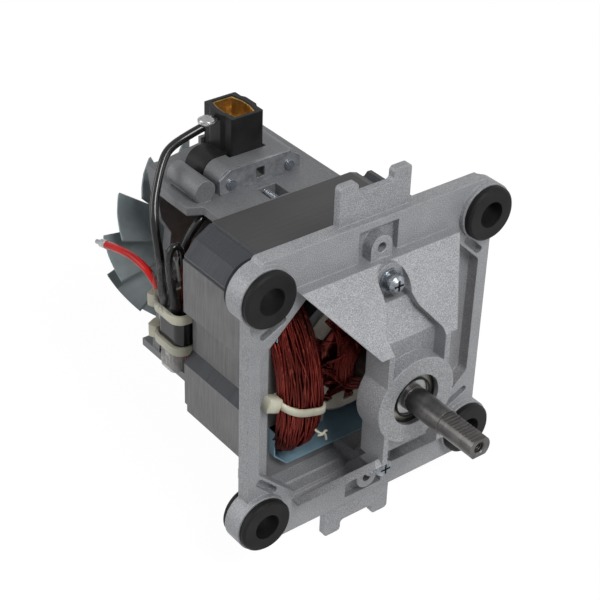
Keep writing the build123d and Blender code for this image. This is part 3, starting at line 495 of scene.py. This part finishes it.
class MotorSizes(bpy.types.PropertyGroup):
    strand: FloatProperty(
        name="Strand", description="Thickness of one turn of the field coils", subtype="DISTANCE", unit="LENGTH",
        default=0.00105, min=0.0006, max=0.002)
    strands: IntProperty(
        name="Strands", description="Turns that show round a field coil", default=66, min=20, max=120)
    floor_drop: FloatProperty(
        name="Floor", description="How far the floor lies under the lowest point", unit="LENGTH",
        default=0.0002, min=0.0)


# Stage
def seen_directly(tree):
    """One for rays from the eye, and for those that metal or glass sends on."""
    path = tree.nodes.new("ShaderNodeLightPath")
    total = path.outputs["Is Camera Ray"]
    for name in ("Is Glossy Ray", "Is Transmission Ray"):
        join = tree.nodes.new("ShaderNodeMath")
        join.operation = "MAXIMUM"
        tree.links.new(total, join.inputs[0])
        tree.links.new(path.outputs[name], join.inputs[1])
        total = join.outputs[0]
    return total


LENS = 96.51
SENSOR_WIDTH = 36.0
CAMERA_PLACE = (-0.32035, -0.35536, 0.35018)
CAMERA_RIGHT = (0.79457, -0.60652, 0.02820)
CAMERA_UP = (0.31906, 0.45661, 0.83050)
CAMERA_BACK = (-0.51658, -0.65089, 0.55632)
LAMPS = (("key", (-0.10, -0.92, 1.06), 0.6, 12.5), ("fill", (1.05, -0.75, 0.45), 0.9, 1.6),
         ("rear", (-0.95, 0.65, 0.55), 0.8, 4.6))
LAMP_AIM = (0, 0.02, 0)
LIGHT_FROM_BELOW = 0.34
LIGHT_FROM_ABOVE = 0.10
FLOOR_HALF_WIDTH = 4.0
FLOOR_GLOW = 1.10
FLOOR_GLOW_SHARE = 0.88


class MOTOR_OT_stage(bpy.types.Operator):
    """Adds the camera, the lamps, the world and the floor"""
    bl_idname = "motor.stage"
    bl_label = "Stage"

    def execute(self, context):
        scene = context.scene
        scene.view_settings.view_transform = "Standard"
        eye = bpy.data.cameras.new("camera")
        eye.lens = LENS
        eye.sensor_width = SENSOR_WIDTH
        camera = bpy.data.objects.new("camera", eye)
        scene.collection.objects.link(camera)
        scene.camera = camera
        turn = Matrix((CAMERA_RIGHT, CAMERA_UP, CAMERA_BACK)).transposed().to_4x4()
        camera.matrix_world = Matrix.Translation(CAMERA_PLACE) @ turn
        self.world(scene)
        for name, place, size, power in LAMPS:
            self.lamp(name, place, size, power)
        self.floor()
        return {"FINISHED"}

    def world(self, scene):
        """Soft light that is stronger from below, and plain white where the eye looks past the motor."""
        world = bpy.data.worlds.new("studio")
        scene.world = world
        world.use_nodes = True
        tree = world.node_tree
        soft = tree.nodes["Background"]
        soft.inputs["Color"].default_value = (0.97, 0.98, 1.0, 1.0)
        way = tree.nodes.new("ShaderNodeTexCoord")
        height = tree.nodes.new("ShaderNodeSeparateXYZ")
        level = tree.nodes.new("ShaderNodeMapRange")
        limits = {"From Min": -1.0, "From Max": 1.0, "To Min": LIGHT_FROM_BELOW, "To Max": LIGHT_FROM_ABOVE}
        for key, value in limits.items():
            level.inputs[key].default_value = value
        tree.links.new(way.outputs["Generated"], height.inputs[0])
        tree.links.new(height.outputs["Z"], level.inputs["Value"])
        tree.links.new(level.outputs[0], soft.inputs["Strength"])
        white = tree.nodes.new("ShaderNodeBackground")
        white.inputs["Strength"].default_value = 1.0
        mix = tree.nodes.new("ShaderNodeMixShader")
        tree.links.new(seen_directly(tree), mix.inputs[0])
        tree.links.new(soft.outputs[0], mix.inputs[1])
        tree.links.new(white.outputs[0], mix.inputs[2])
        tree.links.new(mix.outputs[0], tree.nodes["World Output"].inputs[0])

    def lamp(self, name, place, size, power):
        data = bpy.data.lights.new(name, "AREA")
        data.shape = "DISK"
        data.size = size
        data.energy = power
        made = bpy.data.objects.new(name, data)
        bpy.context.scene.collection.objects.link(made)
        made.location = place
        made.rotation_mode = "QUATERNION"
        made.rotation_quaternion = (Vector(LAMP_AIM) - Vector(place)).to_track_quat("-Z", "Y")

    def floor(self):
        low = CAD_BOX[0].z - bpy.context.scene.motor_sizes.floor_drop
        data = bpy.data.meshes.new("floor")
        corners = [(x * FLOOR_HALF_WIDTH, y * FLOOR_HALF_WIDTH, low) for x, y in ((-1, -1), (1, -1), (1, 1), (-1, 1))]
        data.from_pydata(corners, [], [(0, 1, 2, 3)])
        made = bpy.data.objects.new("floor", data)
        bpy.context.scene.collection.objects.link(made)
        look = Look("floor")
        look.set(Base_Color=(0.5, 0.5, 0.5), Roughness=0.85)
        glow = look.tree.nodes.new("ShaderNodeEmission")
        glow.inputs["Strength"].default_value = FLOOR_GLOW
        seen = Value(look, seen_directly(look.tree))
        mix = look.tree.nodes.new("ShaderNodeMixShader")
        look.tree.links.new((seen * FLOOR_GLOW_SHARE).socket, mix.inputs[0])
        look.tree.links.new(look.shader.outputs[0], mix.inputs[1])
        look.tree.links.new(glow.outputs[0], mix.inputs[2])
        look.tree.links.new(mix.outputs[0], look.tree.nodes["Material Output"].inputs[0])
        data.materials.append(look.material)


# Leads, sleeves and threads
BRUSH_LEAD = [(-14.0, 93.1, 64.9), (-21.3, 94.0, 62.6), (-29.6, 93.6, 60.0), (-34.0, 91.4, 56.2), (-38.6, 87.9, 50.4),
              (-42.6, 84.2, 44.4), (-45.0, 79.8, 37.4), (-45.8, 76.4, 29.5), (-46.0, 74.8, 22.0), (-46.0, 74.6, 15.0)]
FIELD_LEAD = [(-24.5, 75.0, 39.4), (-27.6, 74.7, 38.4), (-30.6, 74.6, 35.8), (-33.3, 74.6, 32.4), (-35.4, 74.6, 28.2),
              (-37.2, 74.2, 23.8), (-39.8, 73.6, 19.4), (-42.2, 73.2, 15.0)]
LOOP_LEAD = [(-44.2, 69.4, 12.0), (-45.2, 69.4, 18.0), (-46.0, 69.4, 24.0), (-46.1, 69.4, 29.0), (-45.4, 69.4, 32.6),
             (-43.2, 69.4, 34.4), (-41.0, 69.4, 32.6), (-40.3, 69.4, 29.0), (-40.6, 69.4, 24.5)]
RED_LEAD = [(-46.4, 76.6, 13.0), (-47.2, 80.0, 17.4), (-47.6, 86.5, 19.4), (-48.0, 94.0, 19.6), (-48.6, 102.0, 18.4),
            (-49.0, 109.0, 16.6)]
FILM_WALL = 0.3
FILM_X = -45.7
# Height, half width, half length and Y of the middle, up the clear tube
FILM_LEVELS = ((6.9, 3.5, 6.4, 72.0), (9.0, 3.7, 6.6, 72.0), (13.0, 3.6, 6.5, 72.0), (17.0, 3.5, 6.2, 72.2),
               (21.0, 3.3, 6.0, 72.5), (24.5, 3.0, 5.6, 72.8), (27.5, 2.7, 5.3, 73.0), (29.0, 2.9, 5.5, 73.0))
# The ends of the three leads in the clear tube, with their radii
TAILS = (([(46.0, 74.6, 15.5), (45.8, 74.4, 11.0), (45.2, 74.0, 7.2)], 1.72),
         ([(42.2, 73.2, 15.5), (43.0, 72.6, 11.0), (43.9, 71.6, 7.2)], 1.5),
         ([(44.1, 69.4, 13.0), (44.2, 69.0, 10.0), (44.9, 68.6, 7.2)], 1.28))
TERMINAL_X = -12.2
TERMINAL_Y = 93.1
TERMINAL_TOP = 67.3
# Height over the terminal and share of the full width, up the lump of solder
SOLDER_LEVELS = ((0.0, 1.0), (0.35, 0.97), (0.8, 0.78), (1.15, 0.5), (1.3, 0.15))
STEPS_PER_TURN = 14
SCREW_Z = 41.5
BOSS_Z = 52.3
RINGS_Y = -19.05
# Radius of each dark ring and of its section: the seal's lip, also painted shade in its gap, then painted shadow at
# the shield's rim
SEAL_AND_SHADE_RINGS = ((7.75, 0.4), (10.1, 0.22))


def half_turned(route):
    """The route turned half a turn about the shaft."""
    return [(-x, y, -z) for x, y, z in route]


def coiled(mesh, centre, radius, start, end, pitch, wire):
    """A thread that runs along Y."""
    steps = int((end - start) / pitch * STEPS_PER_TURN)
    line = []
    for i in range(steps + 1):
        turn = 2 * math.pi * i / STEPS_PER_TURN
        y = start + (end - start) * i / steps
        line.append(Vector((centre[0] + radius * math.cos(turn), y, centre[1] + radius * math.sin(turn))) * MM)
    mesh.tube(line, wire * MM, 5)


def film_ring(y, half_x, half_y, z, seed):
    """One level of the clear tube, as a rounded and slightly uneven ring of points."""
    ring = []
    for turn in round_angles(28):
        c = squared_off(math.cos(turn), 0.8)
        s = squared_off(math.sin(turn), 0.55)
        grow = 1.0 + 0.10 * noise.noise(Vector((c * 1.7, s * 1.7, z * 0.16 + seed)))
        ring.append(Vector((FILM_X + half_x * c * grow, y + half_y * s * grow, z)) * MM)
    return ring


class MOTOR_OT_leads(bpy.types.Operator):
    """Adds the leads, their sleeves and the free red lead"""
    bl_idname = "motor.leads"
    bl_label = "Leads"

    def execute(self, context):
        red = rope("red_wire", RED_LEAD, 1.55, "red_insulation", "frame", ["red_lead"])
        rope("brush_wire_top", BRUSH_LEAD, 1.75, "black_sleeve", "frame", ["brush_lead_top"])
        rope("brush_wire_bottom", half_turned(BRUSH_LEAD), 1.75, "black_sleeve", "frame", ["brush_lead_bottom"])
        rope("field_wire", FIELD_LEAD, 1.6, "black_sleeve", "frame", ["field_lead"])
        rope("loop_wire", LOOP_LEAD, 1.5, "black_sleeve", "frame", ["loop_lead"])
        self.film("joint_film", -1, ["heat_shrink_sleeve"])
        self.film("lower_film", 1, ["heat_shrink_lower"])
        self.tails()
        self.strands()
        self.solder()
        return {"FINISHED"}

    def film(self, name, sign, stands_for):
        """A shrunk clear tube round the joint of the leads."""
        rings = [film_ring(y, wide, long, z, sign) for z, wide, long, y in FILM_LEVELS]
        rings += [film_ring(y, wide - FILM_WALL, long - FILM_WALL, z, sign)
                  for z, wide, long, y in reversed(FILM_LEVELS)]
        if sign > 0:
            rings = [[Vector((-p.x, p.y, -p.z)) for p in ring] for ring in rings]
        mesh = Mesh()
        mesh.shell(rings, True)
        mesh.piece(name, "black_sleeve", "frame", stands_for, "shrink_film")

    def tails(self):
        """The leads' ends and the joint inside the clear tubes."""
        mesh = Mesh()
        for sign in (-1, 1):
            for route, size in TAILS:
                line = smooth_line([Vector((sign * x, y, -sign * z)) * MM for x, y, z in route], 5)
                mesh.tube(line, size * MM, 12)
        mesh.piece("joint_leads", "black_sleeve", "frame")

    def strands(self):
        """Bare enamelled wires that come down from the loop, beside a frayed woven sleeve."""
        random.seed(21)
        wires = Mesh()
        for _ in range(9):
            sway = [random.uniform(-0.5, 0.5) for _ in range(6)]
            route = [(-40.6 + sway[0] * 0.5, 69.4 + sway[1] * 0.5, 25.5), (-40.3 + sway[2], 69.2 + sway[3], 18.0),
                     (-40.6 + sway[4], 69.4 + sway[5], 10.0), (-41.2 + sway[0], 69.8 + sway[2], 3.0)]
            wires.tube(smooth_line(mm(route), 6), 0.36 * MM, 6)
        wires.piece("loop_strands", "enamelled_copper", "frame")
        sleeve = Mesh()
        path = smooth_line(mm([(-43.3, 68.6, 28.2), (-43.2, 67.6, 24.5), (-42.8, 67.2, 20.0)]), 6)
        sleeve.tube(path, [(0.75 + 0.3 * noise.noise(Vector((i * 0.9, 3.0, 0.0)))) * MM for i in range(len(path))], 9)
        for turn in round_angles(10):
            foot = Vector((-43.3 + 0.6 * math.cos(turn), 68.6 + 0.6 * math.sin(turn), 28.0))
            out = Vector((math.cos(turn) * 0.5, math.sin(turn) * 0.5, random.uniform(0.8, 1.9)))
            sleeve.tube([foot * MM, (foot + out) * MM], 0.1 * MM, 4)
        sleeve.piece("frayed_sleeve", "insulating_board", "frame", (), "woven_sleeve")

    def solder(self):
        """Lumps of solder on the two brush terminals."""
        mesh = Mesh()
        for sign in (1, -1):
            rings = []
            for level, size in SOLDER_LEVELS:
                ring = []
                for turn in round_angles(20):
                    bumpy = 1.0 + 0.16 * noise.noise(Vector((math.cos(turn) * 2, math.sin(turn) * 2, level * 2)))
                    x = TERMINAL_X + 3.5 * size * bumpy * math.cos(turn)
                    y = TERMINAL_Y + 3.3 * size * bumpy * math.sin(turn)
                    rise = level * (1.0 + 0.5 * noise.noise(Vector((x, y, 1.0))))
                    ring.append(Vector((sign * x, y, sign * (TERMINAL_TOP + rise))) * MM)
                rings.append(ring)
            mesh.shell(rings)
        mesh.piece("terminal_solder", "tinned_steel", "frame")


class MOTOR_OT_threads(bpy.types.Operator):
    """Adds threads to the long screws and the tapped holes, and dark rings on the front bearing: the seal's lip with
    painted shade in its gap, and painted shadow at the shield's rim
    """
    bl_idname = "motor.threads"
    bl_label = "Threads"

    def execute(self, context):
        screws = Mesh()
        holes = Mesh()
        for sign in (1, -1):
            coiled(screws, (0.0, sign * SCREW_Z), 1.98, 60.0, 75.4, 0.8, 0.22)
            coiled(holes, (0.0, sign * BOSS_Z), 1.95, 5.3, 9.6, 0.75, 0.2)
        coiled(holes, (0.0, 0.0), 2.05, -53.6, -42.0, 0.8, 0.2)
        screws.piece("screw_threads", "zinc_steel", "frame")
        lips = Mesh()
        # Dark rubber rings: the seal's lip, also painted shade in its gap, and painted shadow round the shield's rim.
        for radius, wire in SEAL_AND_SHADE_RINGS:
            circle = [Vector((radius * math.cos(t), RINGS_Y, radius * math.sin(t))) * MM for t in round_angles(64)]
            lips.tube(circle, wire * MM, 8, True)
        lips.piece("bearing_seal_and_shade_rings", "rubber", "frame")
        holes.piece("hole_threads", "cast_alloy", "frame", (), "shaft_steel")
        return {"FINISHED"}


# Field coils
# Y, Z, distance from the middle, half width and half height of the bundle, at its stops round the pole
COIL_STOPS = (
    (9.9, -17.0, 29.6, 8.9, 4.6), (9.3, -8.0, 29.4, 9.2, 4.9), (9.5, 0.5, 29.4, 9.2, 4.9),
    (11.2, 9.0, 29.4, 8.9, 4.9), (14.8, 16.6, 29.2, 8.4, 5.2), (19.8, 23.4, 28.8, 8.0, 5.8),
    (27.0, 28.8, 28.2, 7.6, 6.2), (39.0, 28.8, 28.2, 7.6, 6.2), (52.0, 28.8, 28.2, 7.6, 6.2),
    (60.0, 28.4, 29.0, 8.0, 5.8), (65.4, 24.6, 29.8, 8.3, 5.2), (68.2, 17.0, 30.2, 8.5, 4.8),
    (68.8, 6.0, 30.2, 8.7, 4.9), (68.8, -6.0, 30.2, 8.7, 4.9), (68.2, -17.0, 30.2, 8.5, 4.8),
    (65.4, -24.6, 29.8, 8.3, 5.2), (60.0, -28.4, 29.0, 8.0, 5.8), (52.0, -28.8, 28.2, 7.6, 6.2),
    (39.0, -28.8, 28.2, 7.6, 6.2), (27.0, -28.8, 28.2, 7.6, 6.2), (18.0, -27.6, 28.6, 8.0, 5.4),
    (12.4, -24.0, 29.2, 8.4, 4.9))
STEPS_PER_STOP = 7
WIRE_DEPTH = 1.7
LAYER_DEPTH = 0.8
COIL_X = -29.4
COIL_Y = 9.4
COIL_HALF_WIDE = 9.2
COIL_HALF_DEEP = 4.9
# Distance from the coil and height, round the section of the tie's band
BAND_SECTION = ((0.1, -1.3), (0.4, -1.6), (1.1, -1.6), (1.4, -1.3), (1.4, 1.3), (1.1, 1.6), (0.4, 1.6), (0.1, 1.3))
TIE_HEAD = (-43.0, 8.8, -1.4)
# Y and Z round the section of the tie's head
HEAD_SECTION = ((-2.6, -2.2), (-2.1, -2.8), (2.1, -2.8), (2.6, -2.2), (2.6, 2.2), (2.1, 2.8), (-2.1, 2.8), (-2.6, 2.2))
LACE_ENDS = (((-24.0, 6.6, -20.4), (-22.4, 5.6, -22.0), (-20.6, 5.4, -22.8), (-19.6, 5.6, -24.4), (-18.8, 6.0, -27.0)),
             ((-23.0, 6.0, -23.2), (-21.6, 5.0, -22.6), (-20.4, 5.2, -21.8), (-19.2, 5.6, -22.4)))


class MOTOR_OT_coils(bpy.types.Operator):
    """Winds the two field coils from separate turns of enamelled wire, and ties the left one"""
    bl_idname = "motor.coils"
    bl_label = "Field coils"

    def execute(self, context):
        for name, sign, seed in (("left", -1, 3), ("right", 1, 8)):
            self.wind(name, sign, seed, context.scene.motor_sizes)
        self.tie()
        return {"FINISHED"}

    def wind(self, name, sign, seed, sizes):
        """One coil: a smooth core with two layers of turns laid over it, each turn wandering a little."""
        middle = smooth_line([Vector((sign * x, y, z)) for y, z, x, _, _ in COIL_STOPS], STEPS_PER_STOP, True)
        halves = smooth_line([Vector((wide, deep, 0)) for _, _, _, wide, deep in COIL_STOPS], STEPS_PER_STOP, True)
        count = len(middle)
        across = Vector((1, 0, 0))
        mesh = Mesh()
        rings = []
        radius = sizes.strand * 500  # half the thickness, in millimetres
        for i in range(count):
            along = (middle[(i + 1) % count] - middle[i - 1]).normalized()
            outward = along.cross(across).normalized()
            rings.append((middle[i], outward, halves[i].x, halves[i].y))
        core = []
        for centre, outward, wide, deep in rings:
            wide -= WIRE_DEPTH
            deep -= WIRE_DEPTH
            core.append([(centre + across * math.cos(t) * wide + outward * math.sin(t) * deep) * MM
                         for t in round_angles(16)])
        mesh.shell(core, True)
        random.seed(seed)
        for layer, total in ((0.0, sizes.strands), (LAYER_DEPTH, sizes.strands - 8)):
            for k in range(total):
                angle = 2 * math.pi * (k + random.uniform(-0.25, 0.25)) / total
                shift = random.uniform(0, 60)
                high = random.uniform(-0.25, 0.35)
                line = []
                for i, (centre, outward, wide, deep) in enumerate(rings):
                    turn = 2 * math.pi * i / count
                    wander = noise.noise(Vector((math.cos(turn) * 1.5 + shift, math.sin(turn) * 1.5, k * 0.31)))
                    lift = noise.noise(Vector((math.cos(turn) * 2.6, math.sin(turn) * 2.6 + shift, 7.7)))
                    t = angle + wander * 0.3
                    inset = radius + layer - lift * 0.5 - high
                    c = squared_off(math.cos(t), 0.8)
                    s = squared_off(math.sin(t), 0.8)
                    line.append((centre + across * c * (wide - inset) + outward * s * (deep - inset)) * MM)
                mesh.tube(line, radius * MM, 6, True)
        mesh.piece("coil_turns_" + name, "enamelled_copper", "frame", ["field_coil_" + name])

    def tie(self):
        """A nylon tie pulled round the left coil, lower at its inner side, and the lace's cut ends."""
        mesh = Mesh()
        rings = []
        for turn in round_angles(48):
            c = squared_off(math.cos(turn), 0.8)
            s = squared_off(math.sin(turn), 0.8)
            level = -7.4 - 4.4 * math.cos(turn) + 0.9 * math.sin(turn)
            ring = []
            for out, up in BAND_SECTION:
                place = (COIL_X + c * (COIL_HALF_WIDE + out), COIL_Y + s * (COIL_HALF_DEEP + out), level + up)
                ring.append(Vector(place) * MM)
            rings.append(ring)
        mesh.shell(rings, True)
        tilt = Matrix.Rotation(math.radians(24), 3, "Y")
        mesh.shell([[(Vector(TIE_HEAD) + tilt @ Vector((along, y * size, z * size))) * MM for y, z in HEAD_SECTION]
                    for along, size in ((3.2, 0.86), (2.7, 1.0), (-2.6, 1.0), (-3.1, 0.88))])
        mesh.piece("coil_tie_band", "nylon", "frame", ["front_coil_tie"])
        lace = Mesh()
        for route in LACE_ENDS:
            lace.tube(smooth_line(mm(route), 5), 0.5 * MM, 8)
        lace.piece("lacing_cord_ends", "nylon", "frame")


# Armature winding
CORE_SLOTS = 12
COMMUTATOR_BARS = 24
COIL_SPAN = math.radians(150)
STRANDS_PER_COIL = 24
SLOT_RADIUS = 18.2
SHAFT_ROOM = 9.3
# Radius and Y along the smooth body under the front and the rear end turns
FRONT_BODY = ((6.6, 16.8), (6.6, 14.6), (9.5, 13.8), (13.0, 14.0), (15.2, 14.8), (16.4, 15.8), (16.8, 16.8))
REAR_BODY = ((6.6, 61.2), (16.8, 61.2), (16.2, 64.0), (14.4, 66.6), (11.4, 70.0), (9.8, 81.5), (8.8, 82.6),
             (6.8, 81.0))
# Outward way, Y of the core's face and depth of the end turns over it
ARMATURE_ENDS = ((-1, 16.9, 10.2), (1, 61.1, 12.6))


class MOTOR_OT_armature(bpy.types.Operator):
    """Winds the twelve coils of the armature across both of its ends"""
    bl_idname = "motor.armature"
    bl_label = "Armature"

    def execute(self, context):
        random.seed(5)
        mesh = Mesh()
        self.body(mesh, FRONT_BODY)
        self.body(mesh, REAR_BODY)
        for outward, face, depth in ARMATURE_ENDS:
            for k in range(CORE_SLOTS):
                self.coil(mesh, outward, face, depth, k)
        for turn in round_angles(CORE_SLOTS):
            self.slot(mesh, turn)
        for k in range(COMMUTATOR_BARS):
            self.riser(mesh, k)
        mesh.piece("armature_turns", "enamelled_copper", "rotor", ["armature_winding"])
        return {"FINISHED"}

    def place(self, angle, radius, y):
        """A point given by its angle from straight up and its distance from the shaft's axis."""
        return Vector((radius * math.sin(angle), y, radius * math.cos(angle))) * MM

    def body(self, mesh, profile):
        mesh.shell([[self.place(t, r, y) for t in round_angles(28)] for r, y in profile])

    def coil(self, mesh, outward, face, depth, k):
        """One coil's turns, from their slot round the shaft to the fifth slot on."""
        start = 2 * math.pi * k / CORE_SLOTS
        far = 2.6 + (depth - 4.0) * ((k * 5 % CORE_SLOTS) / 11) ** 0.8
        for strand in range(STRANDS_PER_COIL):
            u = (strand % 8 - 3.5) * 0.72 + random.uniform(-0.2, 0.2)
            v = (strand // 8) * 0.6 + random.uniform(-0.15, 0.15)
            skew = random.uniform(-0.9, 0.9)
            line = []
            for i in range(17):
                t = i / 16
                s = min(1.0, 1.25 * math.sin(math.pi * t) ** 0.6)
                chord = SLOT_RADIUS * math.cos(COIL_SPAN / 2) / math.cos(COIL_SPAN * (0.5 - t))
                r = (chord ** 4 + SHAFT_ROOM ** 4) ** 0.25
                turn = start + COIL_SPAN * t + (1 - s) * (v - 0.6) * 1.2 / r + s * skew / r
                sway = 0.25 * noise.noise(Vector((t * 3, strand * 1.7, k * 2.3)))
                line.append(self.place(turn, r + u * (0.55 + 0.45 * s) + sway, face + outward * (far + v + sway) * s))
            mesh.tube(line, 0.33 * MM, 5)

    def slot(self, mesh, turn):
        """The straight wires in one slot of the core."""
        for r, wide in ((15.8, 1.0), (17.4, 1.2), (19.0, 1.4), (20.6, 1.6)):
            for side in (-1, -0.33, 0.33, 1):
                a = turn + side * wide / r
                mesh.tube([self.place(a, r, 16.2), self.place(a, r, 61.8)], 0.55 * MM, 5)

    def riser(self, mesh, k):
        """The wire from the winding to one bar of the commutator."""
        turn = 2 * math.pi * (k + 0.5) / COMMUTATOR_BARS
        line = [self.place(turn + 0.30 * (1 - t), 17.0 - 3.4 * t + 0.9 * math.sin(math.pi * t), 72.0 + 12.6 * t)
                for t in (0.0, 0.2, 0.4, 0.6, 0.8, 1.0)]
        mesh.tube(line, 0.42 * MM, 6)


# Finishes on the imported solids
class MOTOR_OT_finishes(bpy.types.Operator):
    """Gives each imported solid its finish"""
    bl_idname = "motor.finishes"
    bl_label = "Finishes"

    def execute(self, context):
        slots = {p["node"]: p["material_slot"] for p in frame["record"]["subparts"]}
        # The rear bracket gets the darkened copy of the casting, which is painted shade.
        special = {"rear_bracket": "cast_alloy_painted_shade", "holder_plate_top": "plate_steel",
                   "holder_plate_bottom": "plate_steel"}
        for name, made in NODES.items():
            look = look_of(special.get(name, slots[name]))
            if not made.material_slots:
                made.data.materials.append(look)
            for place in made.material_slots:
                place.material = look
        return {"FINISHED"}


class MOTOR_PT_panel(bpy.types.Panel):
    """Shows the motor's colours, its sizes and the steps that build it"""
    bl_idname = "MOTOR_PT_panel"
    bl_label = "Universal motor"
    bl_space_type = "VIEW_3D"
    bl_region_type = "UI"
    bl_category = "Motor"

    def draw(self, context):
        for group in (context.scene.motor_looks, context.scene.motor_sizes):
            for key in group.__annotations__:
                self.layout.prop(group, key)
        for step in STEPS:
            self.layout.operator(step.bl_idname)


STEPS = (MOTOR_OT_stage, MOTOR_OT_leads, MOTOR_OT_threads, MOTOR_OT_coils, MOTOR_OT_armature, MOTOR_OT_finishes)
CLASSES = (MotorLooks, MotorSizes, *STEPS, MOTOR_PT_panel)


def register():
    for item in CLASSES:
        bpy.utils.register_class(item)
    bpy.types.Scene.motor_looks = PointerProperty(type=MotorLooks)
    bpy.types.Scene.motor_sizes = PointerProperty(type=MotorSizes)


def unregister():
    del bpy.types.Scene.motor_sizes
    del bpy.types.Scene.motor_looks
    for item in reversed(CLASSES):
        bpy.utils.unregister_class(item)


def main():
    register()
    for step in STEPS:
        group, action = step.bl_idname.split(".")
        getattr(getattr(bpy.ops, group), action)()
    bpy.context.view_layer.update()


if __name__ == "__main__":
    main()
